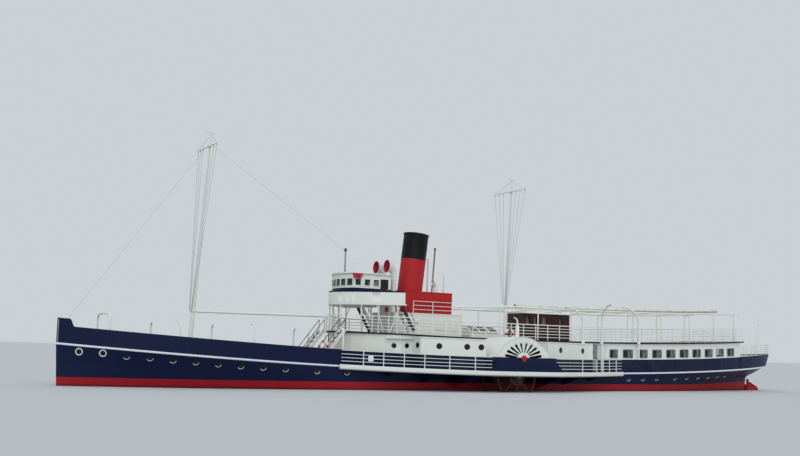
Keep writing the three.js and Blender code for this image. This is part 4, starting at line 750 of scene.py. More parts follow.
# %% Fittings on the foredeck and the hull piece
BOLLARDS = [(24.9, 1.35, 0.13, 0.62), (24.2, 1.45, 0.13, 0.62), (17.9, 3.05, 0.11, 0.55),
             (17.3, 3.05, 0.11, 0.55),
            (-25.9, 1.7, 0.11, 0.5), (-26.5, 1.6, 0.11, 0.5)]      # x, y, radius, height
WINDLASS, HATCH = np.array([25.6, 0, sheer(25.6) + 0.42]), np.array([22.65, 0, sheer(22.6)])
posts = []
for x, y, radius, height in BOLLARDS:
    profile = [(0, -0.05), (radius, -0.05), (radius, height - 0.1), (radius + 0.035, height - 0.08),
               (radius + 0.035, height - 0.02), (radius - 0.02, height), (0, height)]
    posts += [lathe(profile, [x, sign * y, sheer(x)], sides=24) for sign in (1, -1)]
drum = both_ends([(0, 1.0), (0.2, 1.0), (0.2, 0.95), (0.13, 0.85), (0.13, 0.7), (0.17, 0.62), (0.17, 0.42),
                  (0.12, 0.4)])
cheeks = boxes([WINDLASS + [0, y, -0.2] for y in (0.52, -0.52)], (0.6, 0.08, 0.62))
windlass = join(lathe(drum, WINDLASS, ACROSS, 24), cheeks)
hatch = boxes(HATCH + UP * 0.2, (1.5, 1.5, 0.42))
hatch_cover = join(boxes(HATCH + UP * 0.43, (1.6, 1.6, 0.05)),
                   boxes([HATCH + [0, y, 0.47] for y in (-0.5, 0, 0.5)], (1.5, 0.06, 0.04)))
put("hull_shell", [shell, hull_deck, well_lining, join(*posts, windlass), hatch, hatch_cover],
    [hull_enamel, deck_planking, grey_enamel, black_iron, white_enamel, varnished], slot="hull_navy",
    stands_for=("hull_bottom", "hull_topsides"), smooth=32)

# %% [markdown]
# ### Strakes, bulwarks and their rails
# Mouldings follow the deck's edge all round an end of the ship. We walk along that edge from one side to the
# other and carry a section with us, always square to the edge in plan.

# %% Walking round an end
def round_end(x_from, x_end, count):
    """The deck's edge from x_from on the port side, round the end and back: points, and unit outward directions.
    Steps shrink toward the end by a sine."""
    x = x_from + (x_end - x_from) * np.sin(np.linspace(0, np.pi / 2, count))
    path = and_back(spots(x, edge_half(x), sheer(x)))
    out = plan_normal(path)
    return path, out * np.sign(np.sum(out[:, 1] * path[:, 1]))


def spaced(path, spacing):
    """Points at equal distances along a path, both ends included."""
    path = np.asarray(path, float)
    run = np.concatenate([[0], np.cumsum(np.linalg.norm(np.diff(path, axis=0), axis=1))])
    at = np.linspace(0, run[-1], max(2, int(round(run[-1] / spacing)) + 1))
    return np.stack([np.interp(at, run, path[:, k]) for k in range(3)], axis=1)


HALF_ROUND = [(0.0, -0.13), (0.045, -0.118), (0.066, -0.09), (0.07, -0.07), (0.066, -0.05), (0.045, -0.022),
              (0.0, -0.01)]
for name, x_from, x_end in (("strake_fore", 12.65, BOW), ("strake_aft", -10.65, STERN)):
    path, out = round_end(x_from, x_end, 90)
    put(f"{name}_moulding", sweep(path, HALF_ROUND, out, UP), strake_enamel, slot="white_paint",
        stands_for=(name,))

# %% Bulwarks
BULWARK, BOW_RAISE, PLATE = 0.93, 0.42, 0.08
FLARE = -0.42                    # how far the stern bulwark leans out at the very stern
CAP_LOW, CAP_TOP = BULWARK - 0.035, BULWARK + 0.02
# the rail on top has rounded upper corners
CAP = [(-0.12, CAP_LOW), (0, CAP_LOW), (0, CAP_TOP - 0.02), (-0.02, CAP_TOP), (-0.1, CAP_TOP),
       (-0.12, CAP_TOP - 0.02)]


def bulwark(x_from, x_end, up):
    """Outer plate, inner lining and a rail on top. The up direction says how far each point rises and leans."""
    path, out = round_end(x_from, x_end, 110)
    up = up(path)
    plates = [[(-inside, 0.002), (-outside, 0.002), (-outside, BULWARK), (-inside, BULWARK)]
              for inside, outside in ((0.045, 0.003), (PLATE, 0.045))]
    return path, out, up, [sweep(path, section, out, up) for section in (*plates, CAP)]


def bow_up(path):
    """The bulwark is 0.42 m higher ahead of x = 28.05, with a smooth step 0.2 m long before that."""
    step = np.clip((path[:, 0] - 27.85) / 0.2, 0, 1)
    return UP * (1 + BOW_RAISE / BULWARK * step ** 2 * (3 - 2 * step))[:, None]


def stern_up(path):
    """The plate leans out by the share (-26 - x) / 4.3 abaft of x = -26."""
    lean = np.clip((-26 - path[:, 0]) / 4.3, 0, 1)
    return UP + AHEAD * (FLARE / BULWARK * lean)[:, None]


def bent_path(corners, reach, steps=7):
    """A line through corners, each eased by a quadratic curve that starts and ends at reach from it."""
    corners = np.asarray(corners, float)
    back, on = unit(corners[:-2] - corners[1:-1]), unit(corners[2:] - corners[1:-1])
    t, middle = np.linspace(0, 1, steps)[None, :, None], corners[1:-1][:, None]
    bends = middle + back[:, None] * reach * (1 - t) ** 2 + on[:, None] * reach * t ** 2
    return np.vstack([corners[:1], bends.reshape(-1, 3), corners[-1:]])


*_, fore_parts = bulwark(8.34, BOW, bow_up)
stern_path, stern_out, stern_rise, aft_parts = bulwark(-24.42, STERN, stern_up)
STANCHIONS = [(26.05, 0.95, 1.3), (22.4, 0.85, 0.42), (18.15, 1.1, 0.42), (12.3, 1.3, 0.45)]   # x, rise, arm
stanchions = []
for x, rise, arm in STANCHIONS:
    foot = spots(x, edge_half(x) - 0.14, sheer(x) + 0.3)
    head = foot + UP * (rise + BULWARK - 0.3)
    stanchions.append(tube(bent_path([foot, head, head + [0.05, -arm, 0.03]], min(0.38, arm * 0.8), 9), 0.055))
rail_x = np.linspace(8.4, 12.2, 12)                              # the stretch whose rail is white
rail_line = spots(rail_x, edge_half(rail_x) - PLATE / 2, sheer(rail_x) + BULWARK + 0.021)
white_rail = sweep(rail_line, [(-0.07, 0), (0.07, 0), (0.06, 0.02), (-0.06, 0.02)], ACROSS, UP)
put("bow_bulwark", [*fore_parts, join(*[both_sides(one) for one in (*stanchions, white_rail)])],
    [hull_enamel, white_enamel, navy_enamel, white_enamel], slot="hull_navy", stands_for=("bulwark_fore",))

# %% Stern rail and staff
def railing(path, heights, radius, spacing, post_radius):
    """Round bars at several heights along a path, and posts at equal steps that rise to the top bar."""
    path = np.asarray(path, float)
    posts = spaced(path, spacing)
    return join(*[tube(path + UP * height, radius, 7) for height in heights],
                bars(posts, posts + UP * heights[-1], post_radius))


rail_base = stern_path + stern_rise * BULWARK - stern_out * 0.04
stern_rails = railing(rail_base[rail_base[:, 0] < -25.3], (0.22, 0.41, 0.6, 0.79), 0.02, 1.0, 0.024)
staff_head = np.array([-29.75, 0, 5.94])
staff = bars([-29.2, 0, sheer(-29.2) + 0.05], staff_head, 0.035, 12, 0.025)
truck = lathe([(0, -0.04), (0.05, -0.03), (0.065, 0), (0.05, 0.03), (0, 0.04)], staff_head, sides=16)
put("stern_bulwark", [*aft_parts, join(stern_rails, staff, truck)],
    [hull_enamel, white_enamel, navy_enamel, white_enamel], slot="hull_navy", stands_for=("bulwark_aft",))

# %% [markdown]
# ## Guards and paddle boxes
# The guards widen the ship amidships. Each is a deck with a hole for its wheel, a heavy white fender round its
# edge, brackets below and a rail of four bars. The paddle box stands over the hole: a half round cover whose
# outer face has a fan of slots, so that air and water can leave it. The band for a name is left bare.

# %% Guard outline
GUARD_FORE, GUARD_AFT, GUARD_THICK = 12.6, -10.6, 0.3
WIDEST, TAPER = (3.9, -2.3), 3.16 / 8.7        # where the guard is widest, and its taper ahead of that
WHEEL_HOLE = (3.22, -1.42)
PADDLE_X, SHAFT_Z, HULL_SIDE = 0.9, 1.02, 3.706


def guard_half(x):
    """6.98 m out between x = 3.9 and -2.3, and a straight taper to the hull at both ends."""
    x = np.asarray(x, float)
    return 6.98 - 3.16 * (np.maximum(0, x - WIDEST[0]) / 8.7 + np.maximum(0, WIDEST[1] - x) / 8.3)


def guard_top(x):
    return sheer(x) + 0.03


def on_guard(x, inset):
    """A point that far inside the port guard's edge."""
    return spots(x, guard_half(x) - inset, guard_top(x))


def slab(top, bottom, kept=None):
    """Two grids of points, one over the other: faces on the kept cells of both, and a rim wherever a kept cell
    has no kept neighbour."""
    rows, columns = top.shape[:2]
    kept = np.ones((rows - 1, columns - 1), bool) if kept is None else kept
    index = np.arange(rows * columns).reshape(rows, columns)
    cells = grid_faces(rows, columns).reshape(rows - 1, columns - 1, 4)[kept]
    field = np.pad(kept, 1)
    i, j = np.nonzero(field[1:, 1:-1] != field[:-1, 1:-1])
    k, l = np.nonzero(field[1:-1, 1:] != field[1:-1, :-1])
    starts = np.concatenate([index[i, j], index[k, l]])
    ends = np.concatenate([index[i, j + 1], index[k + 1, l]])
    below = rows * columns
    rim = np.stack([starts, ends, ends + below, starts + below], axis=1)
    return np.concatenate([top.reshape(-1, 3), bottom.reshape(-1, 3)]), [cells, cells[:, ::-1] + below, rim]


guard_xs = np.unique(np.concatenate([np.linspace(GUARD_FORE, GUARD_AFT, 48), WIDEST, WHEEL_HOLE]))
outer_edge = guard_half(guard_xs) - 0.05
guard_ys = np.stack([np.full(len(guard_xs), HULL_SIDE), np.minimum(4.0, outer_edge - 0.02),
                     np.minimum(6.66, outer_edge - 0.01), outer_edge], axis=1)
guard_surface = spots(guard_xs[:, None], guard_ys, guard_top(guard_xs)[:, None])
beside_wheel = (guard_xs < WHEEL_HOLE[0] + 0.001) & (guard_xs > WHEEL_HOLE[1] - 0.001)
guard_kept = np.ones((len(guard_xs) - 1, 3), bool)
guard_kept[:, :2] = ~(beside_wheel[:-1] & beside_wheel[1:])[:, None]
guard_deck = slab(guard_surface, guard_surface - UP * GUARD_THICK, guard_kept)

FENDER = [(-0.06, 0.012), (0.02, 0.012), (0.045, -0.01), (0.05, -0.05), (0.05, -0.21), (0.04, -0.24),
          (0.01, -0.25),
          (-0.06, -0.25)]
fender_path = on_guard(np.unique(np.concatenate([np.linspace(GUARD_FORE, GUARD_AFT, 60), WIDEST]))[::-1], 0.05)
fender = sweep(fender_path, FENDER, -plan_normal(fender_path), UP)

# %% Brackets, guard rails and the gangway landing
BRACKETS, GUARD_BARS = (9.2, 6.6, 4.2, -2.6, -5.0, -7.4), (0.22, 0.43, 0.65, 0.88)
GUARD_POSTS = {(12.5, 3.42): (11.21, 10.03, 8.81, 7.59, 6.09, 4.54),
               (-1.8, -10.4): (-4.91, -6.83, -7.76, -8.62, -9.62)}
brackets = []
for x in BRACKETS:
    top, reach = guard_top(x) - GUARD_THICK + 0.02, guard_half(x) - 0.25 - HULL_SIDE
    web = plate([[(0, 0), (reach, 0), (reach, -0.07), (0, -0.32 * reach)]], 0.04)
    brackets += [stood(web, [x + 0.02, HULL_SIDE, top], ACROSS),
                 boxes([x, HULL_SIDE + reach / 2, top - 0.02], (0.16, reach, 0.03))]
guard_rails = []
for (first, last), post_xs in GUARD_POSTS.items():
    line_x = np.unique(np.concatenate([np.linspace(first, last, 30), np.clip(WIDEST, last, first)]))
    line = on_guard(line_x, 0.08)
    feet = on_guard(np.array(post_xs), 0.08)
    guard_rails += [tube(line + UP * height, 0.02, 7) for height in GUARD_BARS]
    guard_rails.append(bars(feet, feet + UP * GUARD_BARS[-1], 0.03))
landing = boxes([-3.0, 6.185, 1.345], (0.5, 0.47, 0.03))
blank_board = boxes(on_guard(10.8, 0.045) + UP * 0.45, (0.32, 0.02, 0.34), [1.0, -TAPER, 0])
put_pair("guard", [guard_deck, join(fender, *guard_rails), join(*brackets), landing, blank_board],
         [grey_enamel, white_enamel, hull_enamel, grey_enamel, white_enamel], slot="white_paint",
         stands_for=("sponson_{}",), smooth=30)

# %% Paddle box
BOX = {"z": 1.1, "radius": 2.46, "inner": 3.84, "outer": 6.88, "wall": 0.07, "base": 1.362}
FAN = {"z": 2.21, "slots": 10, "near": (0.5, 0.7), "far": (1.42, 0.65), "width": 0.2}   # reach, rise
PANEL = [(3.4, 1.342), (2.97, 2.24), (-1.54, 2.24), (-2.4, 1.342)]         # x, z of the blank navy panel
box_width = BOX["outer"] - BOX["inner"]


def arch(radius, steps=64, base=BOX["base"]):
    """Points (radius cos t, height + radius sin t) from the base on one side over to the base on the other."""
    foot = np.arcsin((base - BOX["z"]) / radius)
    turn = np.linspace(foot, np.pi - foot, steps)
    return np.stack([radius * np.cos(turn), BOX["z"] + radius * np.sin(turn)], axis=1)


def over_box(section, radius, y, steps, base=BOX["base"]):
    """A section of (outward, across) carried along an arch that stands at y over the paddle shaft."""
    x, z = arch(radius, steps, base).T
    path = spots(PADDLE_X + x, y, z)
    return sweep(path, section, unit(path - [PADDLE_X, y, BOX["z"]]), ACROSS)


def bead_over(radius, width, depth):
    """A half round bead on the face, above the blank panel."""
    bead = [(-width / 2, 0), (-width * 0.35, depth * 0.8), (0, depth), (width * 0.35, depth * 0.8),
            (width / 2, 0)]
    return over_box(bead, radius, BOX["outer"] - 0.004, 72, PANEL[1][1])


def slot_outline(turn):
    """A long slot that widens outward from the hub and has a round far end. Its rise is flattened."""
    near, far = (np.array([reach * np.cos(turn), FAN["z"] + reach * np.sin(turn) * rise])
                 for reach, rise in (FAN["near"], FAN["far"]))
    along = unit(far - near)
    across = np.array([-along[1], along[0]])
    swing = np.linspace(-np.pi / 2, np.pi / 2, 9)[:, None]
    tip = far + FAN["width"] / 2 * (np.cos(swing) * along + np.sin(swing) * across)
    return np.vstack([near + across * FAN["width"] * 0.25, near - across * FAN["width"] * 0.25, tip])


def to_port(outlines, thickness, edge, y):
    """A plate with its face to port at y, drawn about the paddle shaft."""
    return stood(plate(outlines, thickness, edge), [PADDLE_X, y, 0], -AHEAD)


slots = [slot_outline(np.pi * (i + 0.5) / FAN["slots"]) for i in range(FAN["slots"])]
face = to_port([arch(BOX["radius"]), *slots], BOX["wall"], 0.006, BOX["outer"])
back = to_port([arch(BOX["radius"])], BOX["wall"], 0.0, BOX["inner"] + BOX["wall"])
cover = over_box([(-0.035, 0), (0, 0), (0, box_width), (-0.035, box_width)], BOX["radius"], BOX["inner"], 64)
# The black lining inside the cover is painted shade for the dark inside of the box, seen through the slots.
lining = over_box([(-0.07, 0.07), (-0.036, 0.07), (-0.036, box_width - 0.07), (-0.07, box_width - 0.07)],
                  BOX["radius"], BOX["inner"], 64)
panel = to_port([np.array(PANEL) * [-1, 1] + [PADDLE_X, 0]], 0.03, 0.004, 6.925)
hub_plate = lathe([(0, 0), (0.22, 0), (0.22, 0.03), (0.18, 0.05), (0, 0.055)],
                  [PADDLE_X - 0.03, BOX["outer"], 2.17],
                  ACROSS, 36)
beads = join(bead_over(BOX["radius"] - 0.04, 0.06, 0.03), bead_over(2.08, 0.035, 0.02))
put_pair("paddle_cover", [join(cover, face, back), lining, beads, hub_plate, panel],
         [house_enamel, soot_and_painted_shade, white_enamel, red_enamel, navy_enamel], slot="hull_navy",
         stands_for=("paddle_box_{}",),
         smooth=40)

# %% [markdown]
# ## Promenade deck and bridge
# The promenade deck keeps its CAD planks. Its rail runs all the way round, 80 mm inside the edge, with gates at
# the two stairs from the foredeck. The bridge is bowed: its front is the curve
# x = 8.05 + 3.35 (1 - (|y| / 3.8) ** 1.75).

# %% Deck edges
HOUSE_HEIGHT, DECK_THICK, DECK_HALF, DECK_AFT = 2.066, 0.1, 3.82, -24.75
BRIDGE = {"low": 5.34, "top": 5.43, "aft": 7.93, "aft_middle": 7.58, "half": 3.8}


def deck_top(x):
    return sheer(x) + HOUSE_HEIGHT + DECK_THICK


def deck_half(x):
    return np.minimum(DECK_HALF, edge_half(x) + 0.12)


def bridge_front(y):
    return 8.05 + 3.35 * (1 - (np.abs(y) / BRIDGE["half"]) ** 1.75)


def on_deck(x, y):
    return spots(x, y, deck_top(x))


# %% Promenade rail
RAIL_INSET, RAIL_BARS, GATE = 0.08, (0.2, 0.41, 0.61, 0.81, 1.02), (1.03, 1.87)
front_y = np.linspace(GATE[1], 3.6, 16)
side_x = np.linspace(8.0, DECK_AFT + RAIL_INSET, 60)
along_side = on_deck(side_x, deck_half(side_x) - RAIL_INSET)
stern_y = np.linspace(along_side[-1, 1], 0, 8)[1:]
middle_y = np.linspace(GATE[0], -GATE[0], 9)
front, middle_rail = (on_deck(bridge_front(y) + 0.15 - RAIL_INSET, y) for y in (front_y, middle_y))
whole_rail = and_back(np.concatenate([front, along_side, on_deck(DECK_AFT + RAIL_INSET, stern_y)]))
promenade_rails = join(railing(whole_rail, RAIL_BARS, 0.021, 1.05, 0.028),
                       railing(middle_rail, RAIL_BARS, 0.021, 1.03, 0.028))
top_bar = join(*[tube(rail + UP * 1.035, 0.03, 8) for rail in (whole_rail, middle_rail)])
put("promenade_rail", [promenade_rails, top_bar], [white_enamel, white_enamel], slot="spar_white",
    stands_for=("promenade_railing_port", "promenade_railing_starboard"))

# %% Bridge platform, its posts and struts
bridge_y = np.linspace(-BRIDGE["half"], BRIDGE["half"], 61)
aft_x = np.where(np.abs(bridge_y) > 1.6, BRIDGE["aft"], BRIDGE["aft_middle"])
fore_x = np.maximum(bridge_front(bridge_y), BRIDGE["aft"] + 0.1)
platform_top = spots(aft_x + (fore_x - aft_x) * np.linspace(0, 1, 5)[:, None], bridge_y, BRIDGE["top"])
points, faces = slab(platform_top, platform_top - UP * (BRIDGE["top"] - BRIDGE["low"]))

post_y = np.array([3.48, 2.75, 1.98, 0.75, -0.75, -1.98, -2.75, -3.48])
post_feet = np.concatenate([on_deck(bridge_front(post_y) - 0.12, post_y), on_deck(7.7, np.array([1.2, -1.2]))])
bridge_posts = bars(post_feet, post_feet * [1, 1, 0] + UP * (BRIDGE["low"] + 0.01), 0.045, 14)
collars = [lathe([(0.045, 0.001), (0.1, 0.001), (0.1, 0.02), (0.05, 0.04)], foot, sides=16)
           for foot in post_feet]
STRUT_HEADS, STRUT_FEET = [(9.68, 3.0, 5.3), (8.19, 3.4, 5.3)], [(9.17, 3.0, 3.65), (8.91, 3.4, 3.6)]
struts = both_sides(bars(STRUT_HEADS, STRUT_FEET, 0.028, 10))
pedestal = lathe([(0, 0), (0.19, 0), (0.19, 0.05), (0.13, 0.12), (0.11, 0.6), (0.13, 0.86), (0.13, 0.95),
                  (0, 0.98)],
                 [10.05, 0, BRIDGE["top"]], sides=32)
bridge_frame = join(bridge_posts, *collars, struts)
put("bridge_platform", [(points, faces[:1]), (points, faces[1:]), bridge_frame, pedestal],
    [deck_planking, white_enamel, white_enamel, varnished], slot="white_paint", stands_for=("bridge_deck",))

# %% Bridge screen with a navy cap
LOW, TOP, CAP_DEPTH, THICK = 5.431, 6.25, 0.1, 0.07
screen_y = np.linspace(3.8, -3.8, 73)
screen = spots(bridge_front(screen_y), screen_y, 0.0)
screen_plate, screen_cap, foot_bead = (sweep(screen, section, plan_normal(screen), UP) for section in (
    [(0, LOW), (0, TOP - CAP_DEPTH), (-THICK, TOP - CAP_DEPTH), (-THICK, LOW)],
    [(0, TOP - CAP_DEPTH), (0, TOP - 0.015), (-0.015, TOP), (0.015 - THICK, TOP), (-THICK, TOP - 0.015),
     (-THICK, TOP - CAP_DEPTH)],
    [(0, LOW), (0.004, LOW + 0.01), (0, LOW + 0.03)]))
put("bridge_screen", [join(screen_plate, foot_bead), screen_cap], [white_enamel, navy_enamel], slot="white_paint",
    stands_for=("bridge_bulwark",))

# %% Stairs
def stair(foot, head, width, steps=7, rise=0.7, depth=0.2):
    """Two stringers on the slope, level treads between them, and a handrail on three stanchions at each side.
    Everything is placed along the line foot + share * (head - foot)."""
    foot, head = np.asarray(foot, float), np.asarray(head, float)
    slope, length = unit(head - foot), np.linalg.norm(head - foot)
    square = np.cross(slope, ACROSS)
    square *= np.sign(square[2])
    lift = UP * depth * 0.62
    share = (np.arange(steps) + 0.7) / (steps + 0.4)
    rails = [boxes(foot + share[:, None] * (head - foot) + UP * 0.06, (0.22, width - 0.05, 0.035))]
    stringers = []
    for side in (ACROSS * width / 2, -ACROSS * width / 2):
        low, high = foot + side + slope * 0.12 + lift, head + side - slope * 0.1 + lift
        stands = low + np.array([[0.0], [0.5], [1.0]]) * (high - low)
        rails += [tube([low + UP * rise, high + UP * rise], 0.022, 8), bars(stands, stands + UP * rise, 0.018)]
        stringers.append(boxes(foot + side + slope * length / 2 + lift, (length - 0.16, 0.045, depth), slope,
                               square))
    return [*stringers, join(*rails)]


fore_stair = stair((12.9, 1.45, sheer(12.9) + 0.006), (11.22, 1.45, deck_top(11.22)), 0.74)
bridge_stair = stair((6.75, 2.6, deck_top(6.75) + 0.006), (7.9, 2.6, 5.43), 0.7)
put_pair("fore_stair", fore_stair, [white_enamel, white_enamel, black_iron], slot="white_paint",
         stands_for=("fore_stairs_{}",))
put_pair("bridge_ladder", bridge_stair, [black_iron, white_enamel, black_iron], slot="white_paint",
         stands_for=("bridge_stairs_{}",))

# %% [markdown]
# ## Windows
# A window is a flat frame with rounded corners, its opening, and a pane set back in it. We give the two lower
# corners of the opening on the outside of the wall, so a frame follows the wall's turn and the deck's rise.

# %% Windows
def window(first, last, height, border=0.05, depth=0.03, radius=0.05, pane_depth=0.045, bar=None):
    """A frame, its pane and an optional upright glazing bar at that share of the width."""
    first, last = np.asarray(first, float), np.asarray(last, float)
    along, width = unit(last - first), np.linalg.norm(last - first)
    middle, outward = (first + last) / 2 + UP * height / 2, unit(np.cross(along, UP))
    ring = plate([rounded(width + 2 * border, height + 2 * border, radius + border),
                  rounded(width - 0.02, height - 0.02, radius)], depth, 0.004)
    parts = [stood(ring, middle + outward * depth / 2, along)]
    if bar is not None:
        parts.append(boxes(middle + along * width * (bar - 0.5) - outward * 0.01, (0.035, 0.03, height), along))
    return join(*parts), boxes(middle - outward * pane_depth, (width + 0.01, 0.01, height + 0.01), along)


def gather(pairs):
    """Frames together, and panes together."""
    return [join(*parts) for parts in zip(*pairs)]


def house_wall(x):
    return edge_half(x) - 0.03


SALOON = {"first": -10.7, "pitch": 1.47, "width": 0.94, "count": 9, "sill": 1.06, "head": 1.63}
saloon_fore = SALOON["first"] - SALOON["pitch"] * np.arange(SALOON["count"])
saloon_spans = [(-9.42, -10.16), *zip(saloon_fore, saloon_fore - SALOON["width"])]
saloon_windows = gather([window(*[[x, house_wall(x), sheer(x) + SALOON["sill"]] for x in span],
                                SALOON["head"] - SALOON["sill"], border=0.035, radius=0.07, bar=0.56)
                         for span in saloon_spans])
put_pair("saloon_window_frames", saloon_windows[:1], grey_enamel, slot="grey_paint")
put_pair("saloon_window_glass", saloon_windows[1:], clear_glass)

# %% Curtains behind the saloon windows
def curtain_sheet(x_fore, x_aft, y, low, high, folds, depth):
    """A gathered curtain hangs in waves: y + depth * cos(folds * turn), deeper toward its foot."""
    across, down = np.linspace(0, 1, folds * 10 + 1), np.linspace(0, 1, 9)[:, None]
    x = x_fore + (x_aft - x_fore) * across
    wave = depth * (0.55 + 0.45 * down) * np.cos(2 * np.pi * folds * across)
    return surface(spots(x, y(x) + wave, high(x) + (low(x) - high(x)) * down))


def hang(name, drape):
    """The curtain on both sides of the ship."""
    for piece in put_pair(name, [drape], curtain, smooth=180):
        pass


for i, (fore, aft) in enumerate(saloon_spans):
    hang(f"saloon_curtain_{i + 1}", curtain_sheet(
        fore - 0.56 * (fore - aft), aft + 0.02, lambda x: house_wall(x) - 0.14, lambda x: sheer(x) + 0.98,
        lambda x: sheer(x) + 1.7, 4, 0.022))

# %% Portholes
def porthole(place, outward, radius=0.19, white_all_round=False):
    """A ring whose section is a half round, dark glass inside it, and a thin white arc on its lower rim: a
    painted highlight where the rim catches the sky. With white_all_round the white goes all round as a thicker
    ring.
    """
    place, outward = np.asarray(place, float), np.asarray(outward, float)
    level = unit(np.cross(UP, outward))
    rise = np.cross(outward, level)
    ring = lathe([(radius - 0.045, -0.03), (radius - 0.045, 0.012), (radius - 0.025, 0.02), (radius, 0.012),
                  (radius + 0.004, -0.03)], place, outward, 36, True)
    glass = lathe([(0, 0.002), (radius - 0.04, 0.002), (radius - 0.04, -0.02), (0, -0.02)], place, outward, 36)
    # The lower arc is a painted highlight. The ring all round is white paint.
    turn = np.linspace(0, 2, 37)[:-1] if white_all_round else np.linspace(1.15, 1.95, 17)
    turn = np.pi * turn[:, None]
    arc = place + outward * 0.018 + (radius - 0.018) * (np.cos(turn) * level + np.sin(turn) * rise)
    return ring, glass, tube(arc, 0.03 if white_all_round else 0.015, 8, white_all_round)


HULL_PORTS = [(27.5, 1.93), (26.32, 1.88), (25.12, 1.75), (23.91, 1.69), (22.69, 1.59), (21.45, 1.52),
              (20.19, 1.43), (18.87, 1.34), (17.53, 1.29), (16.14, 1.23), (14.08, 1.14), (12.04, 1.09),
              (-11.2, 0.93), (-12.66, 0.95), (-14.14, 0.98), (-16.22, 1.01), (-17.65, 1.05), (-19.08, 1.09),
              (-20.46, 1.13), (-21.71, 1.18), (-22.87, 1.22)]                                             # x, z
hull_ports = []
for x, z in HULL_PORTS:
    place, outward = hull_point(x, z)
    hull_ports.append(porthole(place + outward * 0.004, outward, 0.2, x > 26))
# White on the lower rims is a painted highlight. On the two foremost ports it is a white painted ring.
put("hull_portholes", [both_sides(shape) for shape in gather(hull_ports)],
    [navy_enamel, port_glass, white_enamel], slot="hull_navy")


def on_wall(first, last, x, z):
    """The place at x on an upright wall between two plan corners on the port side, and its outward normal."""
    first, last = np.array([*first, 0.0]), np.array([*last, 0.0])
    outward = unit(np.cross(UP, last - first))
    share = (x - first[0]) / (last[0] - first[0])
    return first + share * (last - first) + UP * z, outward * np.sign(outward[1])


HOUSES = [[(7.33, 3.67), (7.33, 4.62), (3.43, 6.25), (3.43, 3.84)],
          [(-1.63, 3.84), (-1.63, 6.25), (-6.5, 4.6), (-6.95, 4.6), (-6.95, 3.67)]]    # plan corners x, y
wall_ports = [porthole(*on_wall(*HOUSES[0][1:3], x, 2.83)) for x in (6.23, 4.57, 3.72)]
wall_ports += [porthole(*on_wall(*HOUSES[1][1:3], x, 2.8)) for x in (-3.1, -5.85)]
wall_ports += [porthole([7.77, 3.67, 2.8], ACROSS, 0.16), porthole([7.33, 4.26, 2.86], AHEAD),
               porthole([bridge_front(3.42) - 0.04, 3.42, 2.79], unit(np.array([0.57, 0.82, 0])), 0.16)]
put("house_portholes", [both_sides(shape) for shape in gather(wall_ports)[:2]], [black_iron, port_glass])

# %% [markdown]
# ## Wheelhouse
# It stands on the bridge deck with a slightly bowed front. The CAD walls have its windows cut, so here we add
# dark frames, glass, a roof with a rolled edge, a rail for the lamps, the side light boards and the helm.

# %% Wheelhouse windows
CAB = {"half": 1.5, "front": 10.57, "bow": 0.33, "sill": 6.61, "head": 7.03, "roof": 7.36}
CAB_SIDE, CAB_FRONT = [(10.47, 10.05), (9.78, 9.36), (9.11, 8.69)], (0, 0.6, -0.6, 1.2, -1.2)


def cab_front(y):
    return CAB["front"] + CAB["bow"] * (1 - (np.asarray(y) / CAB["half"]) ** 2)


def cab_windows(corners):
    return gather([window([*first, CAB["sill"]], [*last, CAB["sill"]], CAB["head"] - CAB["sill"], border=0.065,
                          radius=0.03, pane_depth=0.035) for first, last in corners])


front_parts = cab_windows([[(cab_front(y + s), y + s) for s in (0.2, -0.2)] for y in CAB_FRONT])
side_parts = cab_windows([[(x, CAB["half"]) for x in span] for span in CAB_SIDE])
cab_frames, cab_panes = (join(front, both_sides(side)) for front, side in zip(front_parts, side_parts))
put("wheelhouse_window_frames", cab_frames, white_enamel, slot="white_paint")
put("wheelhouse_glass", cab_panes, window_glass)

# %% Wheelhouse roof
ROOF = {"half": 1.62, "front": 0.12, "aft": 7.7, "thick": 0.07, "crown": 0.06}
roof_y = np.linspace(-ROOF["half"], ROOF["half"], 37)
roof_front = cab_front(np.clip(roof_y, -CAB["half"], CAB["half"])) + ROOF["front"] \
    - 0.35 * np.maximum(0, np.abs(roof_y) - 1.42)
roof_x = ROOF["aft"] + (roof_front - ROOF["aft"]) * np.linspace(0, 1, 13)[:, None]
crown = ROOF["crown"] * (1 - (roof_y / ROOF["half"]) ** 2)
roof_top = spots(roof_x, roof_y, CAB["roof"] + ROOF["thick"] + crown)
cab_roof = slab(roof_top, roof_top * [1, 1, 0] + UP * (CAB["roof"] + 0.002))
put("cab_roof", cab_roof, white_enamel, slot="white_paint", stands_for=("wheelhouse_roof",), bevel=0.02)

# %% Lamps, boards and poles on the wheelhouse
BOARD = {"aft": 9.98, "fore": 10.77, "low": 7.04, "high": 7.38, "taper": 0.13, "y": 1.65}
AFTWARD = -0.37             # the starboard board hangs a little farther aft
ROOF_TOP, LAMP_POLE_X = CAB["roof"] + ROOF["thick"], 10.45
board_outline = [(-BOARD["fore"], BOARD["high"]), (-BOARD["fore"] + BOARD["taper"], BOARD["low"]),
                 (-BOARD["aft"] - BOARD["taper"], BOARD["low"]), (-BOARD["aft"], BOARD["high"])]
board = stood(plate([board_outline], 0.03), [0, BOARD["y"], 0], -AHEAD)
lamp = lathe([(0, -0.1), (0.06, -0.1), (0.06, 0.06), (0.04, 0.09), (0, 0.1)],
             [BOARD["aft"] + 0.25, BOARD["y"] + 0.065, 7.2], sides=20)
board_arms = boxes([[x, 1.56, BOARD["low"] + 0.1] for x in (10.1, 10.5)], (0.04, 0.16, 0.04))
light_parts = [board, lamp, board_arms]
put("port_light", light_parts, [red_glass, red_glass, black_iron])
put("starboard_light", [(mirrored(shape)[0] + AHEAD * AFTWARD, shape[1]) for shape in light_parts],
    [green_glass, green_glass, black_iron])

